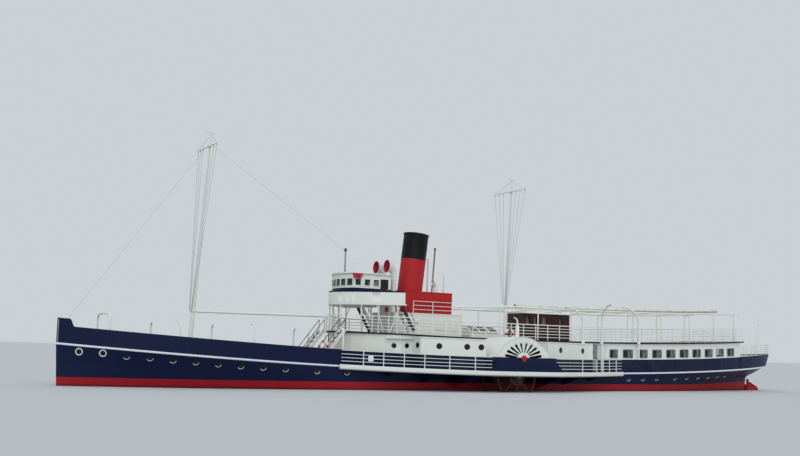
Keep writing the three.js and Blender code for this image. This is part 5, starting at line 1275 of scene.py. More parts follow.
roof_line = np.array([[x, 1.25, ROOF_TOP + 0.015] for x in (10.6, 9.93, 9.27)])
roof_rail = join(bars(roof_line, roof_line + UP * 0.6, 0.016),
                 *[tube(roof_line + UP * height, radius, 8) for height, radius in ((0.6, 0.016), (0.3, 0.012))])
lamp_pole = bars([LAMP_POLE_X, 0, ROOF_TOP + 0.03], [LAMP_POLE_X, 0, 8.9], 0.055, 14, 0.045)
lamp_head = lathe([(0, 0), (0.07, 0), (0.08, 0.05), (0.08, 0.17), (0.05, 0.21), (0, 0.22)],
                  [LAMP_POLE_X, 0, 8.88], sides=20)
put("roof_fittings", [both_sides(roof_rail), lamp_pole, lamp_head], [white_enamel, grey_enamel, black_iron],
    slot="white_paint")

# %% Helm wheel
HELM = {"place": np.array([9.86, 0, 6.43]), "radius": 0.4, "spokes": 8, "reach": 0.55}


def round_ahead(steps):
    """Unit directions at equal steps round the line that points ahead."""
    turn = 2 * np.pi * np.arange(steps) / steps
    return spots(0.0, np.cos(turn), np.sin(turn))


rays = round_ahead(HELM["spokes"])
grips = [bars(HELM["place"] + rays * a, HELM["place"] + rays * b, r, 10, end) for a, b, r, end in
         ((0.06, 0.4, 0.02, 0.016), (0.4, 0.47, 0.014, 0.02), (0.47, HELM["reach"], 0.02, 0.013))]
boss = lathe([(0, -0.05), (0.08, -0.05), (0.08, 0.03), (0.05, 0.06), (0, 0.06)], HELM["place"], AHEAD, 24)
rim = tube(HELM["place"] + HELM["radius"] * round_ahead(48), 0.026, 12, True)
put("helm", [join(rim, *grips), boss], [varnished, polished_brass], body="helm", slot="mahogany",
    stands_for=("helm_wheel",))

# %% [markdown]
# ## Funnel, cowls, pipes and poles
# The funnel is a profile turned about a raked axis, open at the top so that one can look down into its black,
# sooty flue. Each cowl is a pipe that bends forward through a quarter turn while it widens into a mouth, red
# inside.

# %% Funnel
FUNNEL = {"radius": 0.85, "wall": 0.05, "bore": 1.6, "hoops": (7.74, 8.62, 9.55)}
lip = float(np.linalg.norm(FUNNEL_HEAD - FUNNEL_FOOT))


def hoop(z, radius, width=0.07, depth=0.012):
    """A raised band with sloped edges round the funnel at that height, as a stretch of its profile."""
    at = (z - FUNNEL_FOOT[2]) / (FUNNEL_HEAD - FUNNEL_FOOT)[2] * lip
    return [(radius, at - width / 2), (radius + depth, at - width / 2 + 0.006),
            (radius + depth, at + width / 2 - 0.006), (radius, at + width / 2)]


r, bore = FUNNEL["radius"], FUNNEL["radius"] - FUNNEL["wall"]
hoops = [point for z in FUNNEL["hoops"] for point in hoop(z, r)]
skin = [(r, -0.12), (r + 0.05, 0.0), (r + 0.05, 0.03), (r, 0.05), *hoops, (r, lip - 0.12),
        (r + 0.03, lip - 0.09), (r + 0.04, lip - 0.04), (r + 0.03, lip), (bore, lip)]
flue = [(bore, lip), (bore, lip - FUNNEL["bore"]), (0.0, lip - FUNNEL["bore"])]
put("funnel_shell", [lathe(profile, FUNNEL_FOOT, funnel_axis, 96) for profile in (skin, flue)],
    [funnel_enamel, soot_and_painted_shade], slot="funnel_red", stands_for=("funnel",), smooth=40)

# %% Cowls
def pipe_rings(path, radius):
    """Rings of points round a path that bends in the x-z plane only: path + radius (y cos t + normal sin t)."""
    normal = np.cross(unit(np.gradient(path, axis=0)), ACROSS)
    round_ = circle(48)
    return path[:, None] + radius[:, None, None] * (round_[:, :1] * ACROSS + round_[:, 1:] * normal[:, None])


def cowl(foot, mouth, trunk, opening, wall=0.03, rise=0.55, steps=22):
    """The trunk goes straight up, then turns: x + reach (1 - cos t), z + rise sin t. Its radius grows from the
    trunk's to the mouth's by the share of the turn to the power 1.6. The inside follows it, 30 mm smaller."""
    bend_z = mouth[1] - 0.6 * trunk - rise
    t = np.linspace(0, np.pi / 2, steps)
    bend = spots(foot[0] + (mouth[0] - foot[0]) * (1 - np.cos(t)), foot[1],
                 bend_z + (mouth[1] - bend_z) * np.sin(t))
    path = np.vstack([foot, bend])
    radius = np.concatenate([[trunk], trunk + (opening - trunk) * (t / (np.pi / 2)) ** 1.6])
    outer, inner = pipe_rings(path, radius), pipe_rings(path, radius - wall)[:5:-1]
    rolled = [outer[-1] + (outer[-1] - path[-1]) * 0.03 + [0.012, 0, 0],
              (outer[-1] + inner[0]) / 2 + [0.03, 0, 0]]
    outside = surface(np.concatenate([outer, rolled]), False, True)
    inside, throat = surface(np.concatenate([rolled[1:], inner]), False, True)
    end = np.arange(48)[None]
    collar = lathe([(trunk, 0.0), (trunk + 0.05, 0.0), (trunk + 0.05, 0.03), (trunk, 0.06)], foot, sides=40)
    seam = lathe([(trunk, 0), (trunk + 0.012, 0.01), (trunk + 0.012, 0.05), (trunk, 0.06)],
                 [foot[0], foot[1], bend_z - 0.25], sides=40)
    foot_cap = (outer[0], [end[:, ::-1]])
    return [join(outside, foot_cap, collar, seam), (inside, [*throat, end + len(inside) - 48])]


put_pair("cowl_vent", cowl((7.13, 0.71, 5.001), (7.66, 8.05), 0.19, 0.44), [white_enamel, cowl_red],
         slot="white_paint", stands_for=("cowl_{}",))
put("small_cowl_vent", cowl((3.88, 0.9, 6.461), (4.12, 7.14), 0.14, 0.22, rise=0.3),
    [white_enamel, white_enamel], slot="white_paint", stands_for=("cowl_small",))

# %% Pipes, poles and the casing rail
WHITE_CASING = {"top": 5.0, "half": 1.42, "ends": (7.45, 2.0), "low": 3.5, "over": 0.05, "gap": 0.0}
RED_CASING = {"top": 6.46, "half": 1.2, "ends": (6.62, 2.75), "low": 5.0, "over": 0.07, "gap": 0.01}
PANELS = [(6.35, 4.3, 0.55, 0.8), (3.88, 4.25, 0.85, 0.62), (2.7, 4.3, 0.5, 0.8)]      # x, z, width, height
RED_TOP, ANGLE = RED_CASING["top"], 0.035
steam_pipe = join(tube([[3.62, 0, RED_TOP - 0.02], [3.52, 0, 8.0], [3.42, 0, 9.5]], 0.05, 16),
                  lathe([(0.05, 0), (0.08, 0.02), (0.08, 0.12), (0.05, 0.16), (0, 0.16)],
                        [3.42, 0, 9.48], sides=20))
white_poles = bars([[4.0, 0, RED_TOP], [2.85, 0.3, RED_TOP]], [[3.96, 0, 8.83], [2.83, 0.3, 7.71]], 0.055, 12)
casing_rail = railing(spots(np.array([5.92, 4.38, 2.83]), WHITE_CASING["half"] - 0.06, WHITE_CASING["top"]),
                      (0.25, 0.52, 0.8), 0.022, 1.545, 0.028)
put("casing_rails_and_poles", [join(both_sides(casing_rail), white_poles), steam_pipe],
    [white_enamel, rusty_pipe], slot="white_paint")


def angle_bars(top, half, ends, low, over, gap):
    """Angle bars along a casing's top edges and down its corners. The side ones are longer than the casing by
    over, and the corner ones are shorter than its wall by gap."""
    sides = boxes([(ends[0] + ends[1]) / 2, half, top - 0.02], (ends[0] - ends[1] + over, ANGLE, 0.06))
    corners = boxes([[x, half, (top + low) / 2] for x in ends], (ANGLE, ANGLE, top - low - gap))
    across = boxes([[x, 0, top - 0.02] for x in ends], (ANGLE, 2 * half, 0.06))
    return join(both_sides(join(sides, corners)), across)


panels = [stood(plate([rounded(w, h, 0.05)], 0.025, 0.005), [x, WHITE_CASING["half"] + 0.02, z], -AHEAD)
          for x, z, w, h in PANELS]
vent = lathe([(0, 0), (0.14, 0), (0.14, 0.05), (0.09, 0.08), (0, 0.08)],
             [5.67, WHITE_CASING["half"], 4.47], ACROSS, 28)
white_trim = join(angle_bars(**WHITE_CASING), both_sides(join(*panels, vent)))
put("casing_trim", [angle_bars(**RED_CASING), white_trim],
    [red_enamel, white_enamel], slot="white_paint")

# %% Swan-neck vent and life rings
hook = bent_path([[0.0, 5.0, 4.3], [0.0, 5.0, 4.78], [0.3, 5.0, 4.86]], 0.2, 9)
swan_neck = join(lathe([(0.15, 0), (0.15, 0.05), (0.13, 0.08), (0.125, 0.95), (0.05, 1.06), (0, 1.07)],
                       [0, 5.0, 3.36], sides=28), tube(hook, np.linspace(0.055, 0.035, len(hook)), 14))


def life_ring(place, outward, radius=0.3, thick=0.07):
    """A torus in two colours: white quarters with a red band between each, lashed with a line round the rim."""
    place, outward = np.asarray(place, float), unit(np.asarray(outward, float))
    level = unit(np.cross(UP, outward))
    rise = np.cross(outward, level)

    def arc(first, last, fat, steps=14, out=radius):
        turn = np.linspace(first, last, steps)[:, None]
        return tube(place + out * (np.cos(turn) * level + np.sin(turn) * rise), fat, 14)

    quarters = [arc(np.pi / 2 * i + 0.26, np.pi / 2 * (i + 1) - 0.26, thick) for i in range(4)]
    bands = [arc(np.pi / 2 * i - 0.26, np.pi / 2 * i + 0.26, thick + 0.004, 8) for i in range(4)]
    return join(*quarters), join(*bands), arc(0, 2 * np.pi, 0.01, 49, radius + thick + 0.012)


rings = gather([life_ring([-0.23, 3.87, 3.78], [0.25, 1.0, 0.2]),
                life_ring([12.85, 2.0, 2.62], [1.0, 0.62, 0])])
put("life_rings", rings, [white_enamel, red_enamel, rope])
put("swan_neck_vent", both_sides(swan_neck), white_enamel, slot="white_paint")

# %% [markdown]
# ## Masts, spars and rigging
# Both masts are poles that taper upward, each with a light yard. The halyards hang taut from blocks under the
# yard and come together at a cleat band low on the mast. Taut wires are thin straight bars.

# %% Masts
FOREMAST = {"foot": np.array([20.86, 0, sheer(20.86) + 0.011]), "head": np.array([20.15, 0, 15.5]),
            "radius": 0.14, "tip": 0.07, "yard": (14.65, 1.65), "halyards": (-1.6, -1.2, -0.78, 0.5, 1.05, 1.6)}
MAINMAST = {"foot": np.array([-2.68, 0, deck_top(-2.68) + 0.011]), "head": np.array([-3.14, 0, 15.1]),
            "radius": 0.13, "tip": 0.06, "yard": (14.25, 1.85),
            "halyards": (-1.8, -1.25, -0.75, 0.3, 0.75, 1.25, 1.8)}
CLEAT_HEIGHT = 2.6


def mast(foot, head, radius, tip, yard, halyards):
    """A tapered pole with a foot ring, bands, a truck and a yard, and the wires that hang from the yard."""
    share, up, halyards = np.linspace(0, 1, 9), head - foot, np.array(halyards)[:, None] * ACROSS
    pole = tube(foot + share[:, None] * up, radius + (tip - radius) * share, 24)
    truck = lathe([(0, -0.1), (0.07, -0.09), (0.09, -0.05), (0.07, -0.01), (0, 0.0)], head, sides=20)
    foot_ring = lathe([(radius, 0), (radius + 0.07, 0), (radius + 0.07, 0.04), (radius, 0.12)], foot, up, 24)
    z, half = yard
    crossing, cleats = at_height(foot, head, z), at_height(foot, head, foot[2] + CLEAT_HEIGHT)
    middle, y = crossing + AHEAD * (tip + 0.07), np.linspace(-half, half, 9)
    spar = tube(middle + y[:, None] * ACROSS, 0.045 - 0.018 * np.abs(y) / half, 14)
    collar = lathe(both_ends([(tip + 0.002, 0.05), (tip + 0.045, 0.05)]), crossing, up, 20)
    band = lathe(both_ends([(radius, 0.04), (radius + 0.05, 0.04)]), cleats, up, 24)
    lift_ends = middle + UP * 0.03 + np.array([[1], [-1]]) * ACROSS * (half - 0.05)
    tops = middle + halyards - UP * 0.14
    wires = [bars(tops, cleats + AHEAD * (radius + 0.02) + halyards * 0.14, 0.01, 6),
             bars(at_height(foot, head, z + 0.75), lift_ends, 0.009, 6),
             boxes(tops + UP * 0.05, (0.05, 0.03, 0.12)),
             bars(head + [-0.28, 0, 0.035], head + [0.28, 0, 0.035], 0.012, 6),
             bars(head - UP * 0.05, head + UP * 0.035, 0.012, 6)]
    return [join(pole, truck, foot_ring, spar, collar, band), join(*wires)]


for name, sizes in (("foremast", FOREMAST), ("mainmast", MAINMAST)):
    put(f"{name}_pole", mast(**sizes), [white_enamel, wire_grey], slot="spar_white", stands_for=(name,))

# %% Stays and the foredeck spar
stay_top = at_height(FOREMAST["foot"], FOREMAST["head"], 14.9)
put("stays", bars(stay_top, [[28.35, 0, sheer(28.35) + 1.0], [LAMP_POLE_X, 0, 8.9]], 0.006, 6), wire_grey)
SPAR = {"fore": np.array([20.48, 0, 4.5]), "aft": np.array([11.62, 0, 4.56]), "radius": 0.075, "crutch": 11.72}
along_spar = SPAR["aft"] - SPAR["fore"]
spar = tube(SPAR["fore"] + np.linspace(0, 1, 7)[:, None] * along_spar, SPAR["radius"], 20)
crutch = bars([SPAR["crutch"], 0, sheer(SPAR["crutch"]) + 0.02], [SPAR["crutch"], 0, 4.5], 0.05, 14)
gaiters = [lathe(both_ends([(0.075, 0.04), (0.095, 0.035)]), SPAR["fore"] + share * along_spar, along_spar, 20)
           for share in (0.02, 0.5, 0.985)]
put("foredeck_spar", join(spar, crutch, *gaiters), white_enamel, slot="spar_white",
    stands_for=("fore_ridge_spar",))

# %% [markdown]
# ## Awning and davits
# Tubes stand along both sides of the after promenade and carry a rail. A ridge tube runs down the middle and
# the canvas lies rolled on it. The roll really is one sheet, wound in a spiral and lashed with rope.

# %% Awning frame
post_x = np.array([3.5, 0.4, -2.9, -5.9, -8.8, -11.8, -14.7, -17.8, -20.8, -23.6])
RIDGE, RIDGE_RISE = (-3.3, -24.62), 0.12


def awning_z(x):
    """2.2 m over the deck, and 50 mm lower for each metre ahead of x = -1."""
    return deck_top(x) + 2.2 - 0.05 * np.maximum(0, np.asarray(x) + 1)


def awning_half(x):
    return deck_half(x) - 0.27


feet, heads = on_deck(post_x, awning_half(post_x)), spots(post_x, awning_half(post_x), awning_z(post_x))
rail_x = np.linspace(4.1, -24.4, 50)
side_rail = tube(spots(rail_x, awning_half(rail_x), awning_z(rail_x)), 0.06, 12)
flanges = [lathe([(0.042, 0.001), (0.08, 0.001), (0.08, 0.015), (0.04, 0.03)], foot, sides=14) for foot in feet]
knees = bars(heads - UP * 0.35, heads - AHEAD * 0.3, 0.014, 6)
awning_side = join(bars(feet, heads, 0.042, 12), side_rail, *flanges, knees)
put("awning_side_frame", both_sides(awning_side), white_enamel, slot="spar_white",
    stands_for=("awning_side_port", "awning_side_starboard"))

ridge_x = np.linspace(*RIDGE, 30)
ridge = tube(spots(ridge_x, 0, awning_z(ridge_x) + RIDGE_RISE), 0.05, 14)
cross = [tube(spots(x, awning_half(x) * np.array([1, 0.5, 0]), awning_z(x) + np.array([0, 0.075, RIDGE_RISE])),
              0.03, 10) for x in (RIDGE[0], *post_x[post_x < RIDGE[0]])]
put("awning_ridge_frame", join(ridge, both_sides(join(*cross))), white_enamel, slot="spar_white",
    stands_for=("awning_ridge",))

# %% The rolled canvas
ROLL = {"fore": -3.6, "aft": -24.55, "radius": 0.17, "turns": 13, "squash": 0.75, "rows": 150}
roll_x = np.linspace(ROLL["fore"], ROLL["aft"], ROLL["rows"])[:, None]
roll_z = awning_z(roll_x) + RIDGE_RISE + 0.05 + ROLL["radius"] * ROLL["squash"]
lashings = np.arange(ROLL["fore"] - 0.9, ROLL["aft"] + 0.4, -1.5)
nip = np.exp(-((roll_x - lashings) / 0.16) ** 2).sum(1, keepdims=True)
chance = np.random.default_rng(7)
sag = np.interp(roll_x, np.linspace(ROLL["aft"], ROLL["fore"], 40), chance.normal(0, 1, 40))
wind = np.linspace(0, 1, ROLL["turns"] * 20 + 1)
angle = 2 * np.pi * ROLL["turns"] * wind
reach = (0.02 + (ROLL["radius"] - 0.02) * wind) * (1 + 0.012 * np.sin(3 * angle + 1.3) * wind)
tight = 0.95 - 0.16 * nip + 0.012 * sag
canvas_shape = surface(spots(
    roll_x, reach * np.cos(angle) * tight + 0.004 * sag,
    roll_z + ROLL["squash"] * (reach * np.sin(angle) * tight - ROLL["radius"] * (1 - tight) * 0.9)))
rolled = put("rolled_awning", canvas_shape, canvas, slot="canvas", stands_for=("awning_roll",), smooth=180)
turn, ties = 2 * np.pi * np.arange(28) / 28, []
for x in lashings:
    top = np.interp(-x, -roll_x[:, 0], roll_z[:, 0]) + ROLL["radius"] * ROLL["squash"] * 0.8
    low = awning_z(x) + 0.055
    ties.append(tube(spots(x + 0.02 * np.sin(turn), 0.155 * np.cos(turn),
                           (top + low) / 2 + (top - low) / 2 * np.sin(turn)), 0.012, 8, True))
put("awning_lashings", join(*ties), rope)

# %% Davits
DAVITS = {"fore": (-6.63, 0, 3.36, 5.85), "middle": (-8.38, 72, 1.4, 6.1), "aft": (-11.96, 0, 2.3, 6.05)}
DAVIT_Y, DAVIT_REACH, DAVIT_BEND = 3.96, 1.62, 1.2
for name, (x, heading, foot, head) in DAVITS.items():
    out = np.array([math.cos(math.radians(heading)), math.sin(math.radians(heading)), 0])
    t, eye_turn = np.linspace(0, np.pi / 2, 20)[:, None], np.linspace(0, 2 * np.pi, 17)[:-1, None]
    arm = [x, DAVIT_Y, head - DAVIT_BEND] + DAVIT_REACH * (1 - np.cos(t)) * out + DAVIT_BEND * np.sin(t) * UP
    path = np.vstack([[x, DAVIT_Y, foot], [x, DAVIT_Y, foot + 0.5], arm])
    post = tube(path, np.interp(np.arange(len(path)), [0, 2, len(path) - 1], [0.07, 0.07, 0.06]), 18)
    knob = lathe([(0, -0.045), (0.04, -0.04), (0.055, -0.01), (0.05, 0.03), (0, 0.045)], path[-1], out, 18)
    cleat = np.array([x, DAVIT_Y, deck_top(x) + 0.75])
    horns = bars(cleat - out * 0.15, cleat + out * 0.15, 0.022, 10)
    collar = lathe(both_ends([(0.07, 0.05), (0.088, 0.05)]), cleat, sides=18)
    loop = out * np.cos(eye_turn) + UP * (np.sin(eye_turn) - 1.6)
    eye = tube(path[-1] - out * 0.06 + 0.04 * loop, 0.011, 8, True)
    put_pair(f"{name}_davit", [join(post, knob, horns, collar), eye], [white_enamel, black_iron],
             body=f"boat_davit_{name}_{{}}", slot="spar_white", stands_for=(f"davit_{name}_{{}}",))

# %% Sockets that carry the davits
sockets = []
for x, *_ in DAVITS.values():
    z = deck_top(x) + 0.02
    sockets.append(lathe([(0.082, -0.16), (0.115, -0.16), (0.115, 0.0), (0.095, 0.05), (0.082, 0.05)],
                         [x, DAVIT_Y, z], sides=20))
    sockets.append(boxes([x, (DAVIT_Y + deck_half(x)) / 2 - 0.05, z - 0.08], (0.14, 0.24, 0.05)))
put("davit_sockets", both_sides(join(*sockets)), white_enamel, slot="white_paint")

# %% [markdown]
# ## Paddle wheels and shaft
# Eight floats stand on arms in two planes, tied by rings. The wheels and the shaft that joins them turn as one
# body. Red lead wears off the floats first, so they look rusty. Their red is also made very dark as painted
# shade, for the shadow under the guards.

# %% Paddle wheels
WHEEL = {"inner": 4.15, "outer": 6.45, "radius": 2.12, "floats": 8, "float": 0.62, "ring": (1.42, 1.54),
         "hub": 0.34, "planes": (4.4, 6.1), "arm": 0.1, "near": 0.2, "shaft": 0.15}
spin = 2 * np.pi * np.arange(WHEEL["floats"]) / WHEEL["floats"]
spoke, round_way = spots(np.sin(spin), 0, np.cos(spin)), spots(np.cos(spin), 0, -np.sin(spin))
centre = np.array([PADDLE_X, 0, SHAFT_Z])
mid_y = (WHEEL["inner"] + WHEEL["outer"]) / 2 * ACROSS
float_planks = [boxes(centre + mid_y + spoke * (WHEEL["radius"] - WHEEL["float"] * (1 - share)),
                      (0.05, WHEEL["outer"] - WHEEL["inner"], WHEEL["float"] / 3 - 0.012), round_way, spoke)
                for share in (1 / 6, 1 / 2, 5 / 6)]
near, far, (low, high) = WHEEL["near"], WHEEL["radius"] - WHEEL["float"] + 0.4, WHEEL["ring"]
frames = []
for y in WHEEL["planes"]:
    level = centre + ACROSS * (y + WHEEL["arm"] / 2)
    frames += [boxes(level + spoke * (near + far) / 2, (0.1, WHEEL["arm"] * 0.7, far - near), round_way, spoke),
               boxes(level + spoke * 1.78 + round_way * 0.06, (0.07, WHEEL["arm"] * 0.9, 0.44), round_way,
                     spoke),
               lathe([(low, -0.03), (high, -0.03), (high, 0.03), (low, 0.03)], level, ACROSS, 96, True),
               lathe([(0.16, -0.075), (0.62, -0.04), (0.62, 0.04), (0.16, 0.075)], level, ACROSS, 64, True)]
hub_low, hub_high, hub = WHEEL["inner"] + 0.15, WHEEL["outer"] - 0.1, WHEEL["hub"]
half = (hub_high - hub_low) / 2
hub_profile = both_ends([(0.153, half), (hub - 0.03, half), (hub, half - 0.03), (hub, half - 0.4),
                         (hub - 0.07, half - 0.45)])
frames.append(lathe(hub_profile, centre + ACROSS * (hub_low + hub_high) / 2, ACROSS, 48, True))
# The wheels' very dark red is partly painted shade.
put_pair("wheel", [join(*float_planks), join(*frames)], [rusty_red_and_painted_shade, rusty_red_and_painted_shade], body="paddle_shafting",
         slot="float_red", stands_for=("paddle_wheel_{}",))
r, reach = WHEEL["shaft"], WHEEL["outer"] + 0.05
shaft_profile = [(0, -reach), (r - 0.02, -reach), (r, -reach + 0.02), (r, -1.6), (r, reach - 0.02),
                 (r - 0.02, reach), (0, reach)]
put("cross_shaft", lathe(shaft_profile, centre, ACROSS, 48), oily_steel, body="paddle_shafting",
    slot="machinery", stands_for=("paddle_shaft",))

# %% [markdown]
# ## Skylight, deck saloon and doors
# The engine room skylight has six dark panes in each white lid. The deck saloon is varnished, with pale
# curtained windows. Trim that sits on a door or a lid moves with it.

# %% Skylight panes
SKYLIGHT = {"fore": 0.95, "aft": -1.55, "half": 0.95, "coaming": 0.42, "ridge": 0.86}
sky_base, sky_length = deck_top(SKYLIGHT["fore"]) + 0.001, SKYLIGHT["fore"] - SKYLIGHT["aft"]
lid_top = np.array([[0.09, sky_base + SKYLIGHT["ridge"] + 0.02],
                    [SKYLIGHT["half"] + 0.06, sky_base + SKYLIGHT["coaming"] + 0.035]])
fall, lid_length = unit(lid_top[1] - lid_top[0]), float(np.linalg.norm(lid_top[1] - lid_top[0]))
lid_down, lid_out = np.array([0, *fall]), np.array([0, -fall[1], fall[0]])
lid_middle = np.array([(SKYLIGHT["fore"] + SKYLIGHT["aft"]) / 2, *lid_top.mean(0)])
pane_gap = (sky_length - 0.1) / 3
pane_x = np.array([-1, 0, 1])[:, None] * pane_gap * AHEAD
panes = boxes(lid_middle + pane_x + lid_out * 0.004, (pane_gap - 0.16, lid_length - 0.2, 0.012), AHEAD, lid_out)
bar_x = np.array([-1.5, -0.5, 0.5, 1.5])[:, None] * pane_gap * AHEAD
bar_down = np.array([-0.5, 0.5])[:, None] * (lid_length - 0.1) * lid_down
lid_bars = join(*[boxes(lid_middle + way + lid_out * 0.012, size, AHEAD, lid_out) for way, size in
                  ((bar_x, (0.1, lid_length - 0.02, 0.03)), (bar_down, (sky_length, 0.09, 0.03)))])
put_pair("lid_panes", [lid_bars, panes], [white_enamel, port_glass], body="engine_skylight_{}",
         slot="white_paint", bevel=0.006)

# %% Deck saloon
CABIN = {"fore": -3.7, "aft": -7.87, "half": 0.97, "height": 1.93, "sill": 1.13, "head": 1.75, "eave": 1.09}
CABIN_PANES = [(-3.84, -4.2), (-4.55, -4.86), (-5.3, -5.8), (-6.94, -7.21)]
cabin_frames, cabin_glass = gather([
    window(*[[x, CABIN["half"], deck_top(x) + CABIN["sill"]] for x in span], CABIN["head"] - CABIN["sill"],
           border=0.04, radius=0.03) for span in CABIN_PANES])
put("cabin_window_frames", both_sides(cabin_frames), varnished, slot="mahogany")
put("cabin_glass", both_sides(cabin_glass), clear_glass)
for i, (fore, aft) in enumerate(CABIN_PANES):
    hang(f"cabin_curtain_{i + 1}", curtain_sheet(
        fore + 0.01, aft - 0.01, lambda x: CABIN["half"] - 0.15, lambda x: deck_top(x) + CABIN["sill"] - 0.05,
        lambda x: deck_top(x) + CABIN["head"] + 0.04, 3, 0.018))
roof_x = np.linspace(CABIN["fore"] + 0.12, CABIN["aft"] - 0.12, 9)[:, None]
roof_y = np.linspace(-CABIN["eave"], CABIN["eave"], 17)
roof_low = deck_top(roof_x) + CABIN["height"] + 0.002
crown = 0.07 + 0.07 * (1 - (roof_y / CABIN["eave"]) ** 2)
put("cabin_roof", slab(spots(roof_x, roof_y, roof_low + crown), spots(roof_x, roof_y, roof_low)), white_enamel,
    slot="white_paint", stands_for=("deck_saloon_roof",), bevel=0.02)
corner_posts = boxes([[x, CABIN["half"] + 0.004, deck_top(x) + CABIN["height"] / 2 + 0.01]
                      for x in (CABIN["fore"] - 0.03, CABIN["aft"] + 0.03, -6.3)],
                     (0.09, 0.05, CABIN["height"] - 0.04))
plinth = boxes([(CABIN["fore"] + CABIN["aft"]) / 2, CABIN["half"] + 0.008, deck_top(-5.8) + 0.1],
               (CABIN["fore"] - CABIN["aft"], 0.04, 0.14))
put("cabin_trim", both_sides(join(corner_posts, plinth)), varnished, slot="mahogany", bevel=0.005)

# %% Doors: panes, panels and handles
def handle(place, outward):
    """A brass knob on a rose."""
    return lathe([(0, 0), (0.05, 0), (0.05, 0.01), (0.02, 0.015), (0.015, 0.04), (0.032, 0.05), (0.032, 0.075),
                  (0, 0.085)], place, outward, 18)


def panel(place, width, height, radii, less=0.08, thick=0.016, edge=0.003, along=-AHEAD):
    """A raised frame. Its opening is smaller than its outline by less, both ways."""
    outlines = [rounded(width - gap, height - gap, radius) for gap, radius in zip((0, less), radii)]
    return stood(plate(outlines, thick, edge), place, along)


SIDE_DOOR = {"aft": -8.228, "middle": -7.8, "y": 3.67, "low": float(sheer(-7.8)) + 0.1}
door_place = np.array([SIDE_DOOR["middle"], SIDE_DOOR["y"], SIDE_DOOR["low"]])
ring, glass, _ = porthole(door_place + [0, 0.004, 1.35], ACROSS, 0.15)
raised = [panel(door_place + [0, 0.012, z], 0.62, 0.72, (0.06, 0.04), thick=0.02, edge=0.004)
          for z in (0.48, 1.35)]
knob = handle([SIDE_DOOR["aft"] + 0.1, SIDE_DOOR["y"], SIDE_DOOR["low"] + 0.9], ACROSS)
put_pair("hull_door_trim", [join(*raised, ring), glass, knob], [grey_enamel, port_glass, polished_brass],
         body="hull_door_{}")
CAB_DOOR = {"aft": 7.992, "middle": 8.28, "pane": 6.78, "panel": 6.02, "knob": 6.4}
cab_frame = panel([CAB_DOOR["middle"], CAB["half"] + 0.01, CAB_DOOR["pane"]], 0.42, 0.56, (0.05, 0.03), 0.06)
cab_panel = panel([CAB_DOOR["middle"], CAB["half"] + 0.01, CAB_DOOR["panel"]], 0.42, 0.6, (0.03, 0.02))
cab_pane = boxes([CAB_DOOR["middle"], CAB["half"] + 0.0015, CAB_DOOR["pane"]], (0.37, 0.008, 0.51))
knob = handle([CAB_DOOR["aft"] + 0.07, CAB["half"], CAB_DOOR["knob"]], ACROSS)
put_pair("cab_door_trim", [join(cab_frame, cab_panel), cab_pane, knob], [varnished, port_glass, polished_brass],
         body="cab_door_{}")
saloon_low = deck_top(-3.73) + 0.065
panels = [panel([-3.694, 0, saloon_low + z], 0.62, height, (0.04, 0.03), along=ACROSS)
          for z, height in ((0.42, 0.6), (1.2, 0.7))]
put("saloon_door_trim", [join(*panels), handle([-3.703, -0.3, saloon_low + 0.82], AHEAD)],
    [varnished, polished_brass], body="saloon_door")

# %% [markdown]
# ## Trim on the houses
# Angles and half round beads cover the corners and eaves of the plating, as they do on the ship. A thin drip
# shelf runs along the forward sponson house, and a navy edge follows the promenade deck.

# %% House trim
bead = np.array([(0.0, -0.035), (0.028, -0.03), (0.04, 0.0), (0.028, 0.03), (0.0, 0.035)])
edge_x, edge_y = np.linspace(8.0, DECK_AFT, 70), np.linspace(3.8, -3.8, 61)
port_edge = sweep(spots(edge_x, deck_half(edge_x) - 0.002, deck_top(edge_x) - 0.05), bead, ACROSS, UP)
front_line = spots(bridge_front(edge_y) + 0.148, edge_y, deck_top(bridge_front(edge_y) + 0.15) - 0.05)
front_edge = sweep(front_line, bead, plan_normal(front_line), UP)
aft_edge = sweep(spots(DECK_AFT + 0.002, np.array([2.0, 0.0, -2.0]), deck_top(DECK_AFT) - 0.05), bead * [-1, 1],
                 AHEAD, UP)
put("deck_edge_moulding", join(both_sides(port_edge), front_edge, aft_edge), navy_enamel)

EAVE = [(-0.02, -0.055), (0.03, -0.055), (0.045, -0.02), (0.03, 0.012), (-0.02, 0.012)]
house_trim = []
for corners in HOUSES:
    plan = np.array([[x, y, guard_top(x) + 1.97] for x, y in corners])
    for a, b in zip(plan[:-1], plan[1:]):
        outward = unit(np.cross(UP, b - a))
        outward *= np.sign(outward @ ((a + b) / 2 - [(plan[0, 0] + plan[-1, 0]) / 2, 3.7, a[2]]))
        house_trim.append(sweep(spaced([a, b], 0.8), EAVE, outward, UP))
    house_trim.append(bars(plan[1:-1] - UP * 1.95, plan[1:-1] - UP * 0.03, 0.022, 10))
shelf_y = np.linspace(3.1, 3.67, 9)
shelf_line = np.vstack([[[7.4, 3.67, 3.27], [8.0, 3.67, 3.27]],
                        spots(bridge_front(shelf_y) - 0.05, shelf_y, 3.27)[::-1]])
shelf_out = plan_normal(shelf_line)
shelf = sweep(shelf_line, [(-0.02, 0), (0.27, -0.03), (0.27, 0.0), (-0.02, 0.035)],
              shelf_out * np.sign(shelf_out[:, 1:2]), UP)
put("sponson_house_trim", both_sides(join(*house_trim, shelf)), house_enamel, slot="white_paint")

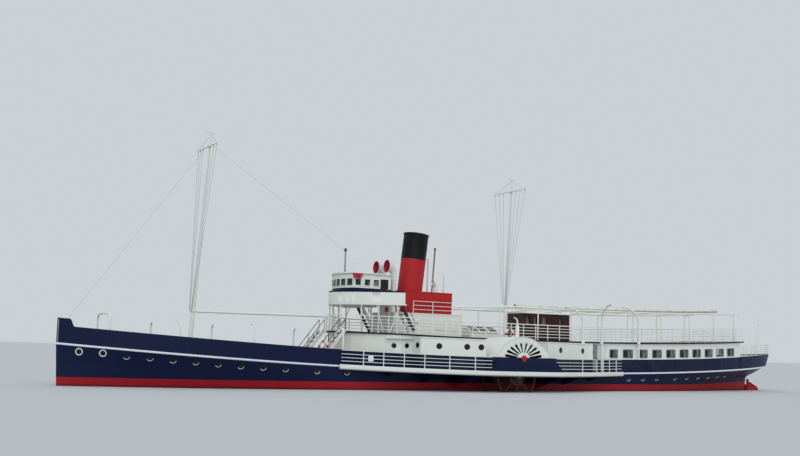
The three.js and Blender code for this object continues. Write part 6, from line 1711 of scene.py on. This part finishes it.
cab_feet = spots(np.array([10.57, 7.82]), CAB["half"], 6.46)
line_y = np.linspace(CAB["half"], -CAB["half"], 21)
cab_line = np.vstack([[8.62, 1.505, 6.46], spots(cab_front(line_y) + 0.004, line_y, 6.46),
                      [8.62, -1.505, 6.46]])
cab_corners = both_sides(bars(cab_feet, cab_feet + UP * 0.9, 0.03, 12))
put("wheelhouse_trim", join(cab_corners, tube(cab_line, 0.022, 8)), white_enamel, slot="white_paint")

# %% Rudder straps
straps = boxes([[-28.75, 0.066, z] for z in (-1.2, -0.5, 0.2)], (1.0, 0.014, 0.11))
put("rudder_straps", both_sides(straps), red_enamel, body="rudder_blade", slot="hull_red", bevel=0.005)

# %% [markdown]
# ## Paint on the CAD pieces that stay
# Flat pieces stay as the CAD made them and only take a finish.

# %% CAD finishes
def cab_colours(tree, point):
    """The wheelhouse is navy below 6.44 m on the ship and white above."""
    axes = add(tree, "SeparateXYZ", {"Vector": point})
    return two_tone(tree, axes.outputs[2], 6.44 * SCALE, NAVY, WHITE)


cab_enamel = enamel("wheelhouse_enamel", cab_colours, 0.4, 0.55)
iron_casting = finish("oiled_iron_casting", painted("#3c4042", "#1d1b19", 0.4, 0.3), satin(0.4, 0.6), brushed,
                      Metallic=0.6)
boot_enamel = enamel("boot_top_enamel", painted(BOOT_RED, "#5a1014", 0.2, 0.1), 0.38, 0.5, plated)
KEPT = [(hull_enamel, ["keel"]), (boot_enamel, ["rudder"]),
        (house_enamel, ["main_deckhouse_port", "main_deckhouse_starboard", "aft_saloon"]),
        (grey_enamel, ["side_door_port", "side_door_starboard"]), (promenade_planking, ["promenade_deck"]),
        (cab_enamel, ["wheelhouse"]), (red_enamel, ["uptake_casing"]), (iron_casting, ["engine_and_boiler"]),
        (varnished, ["wheelhouse_door_port", "wheelhouse_door_starboard", "deck_saloon", "deck_saloon_door"]),
        (white_enamel, ["funnel_casing", "skylight", "skylight_lid_port", "skylight_lid_starboard"])]
for paint, names in KEPT:
    for name in names:
        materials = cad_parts[name].data.materials
        materials.clear()
        materials.append(paint)
print(len(made), "new pieces,", sum(len(names) for _, names in KEPT), "CAD pieces painted")

# %% [markdown]
# ## Sizes
# The CAD box and the dressed model's box are printed.

# %% Sizes and the end
visual_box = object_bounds()
sizes = {"cad": [list(map(float, corner)) for corner in cad_box],
         "visual": [list(map(float, corner)) for corner in visual_box]}
print(sizes)
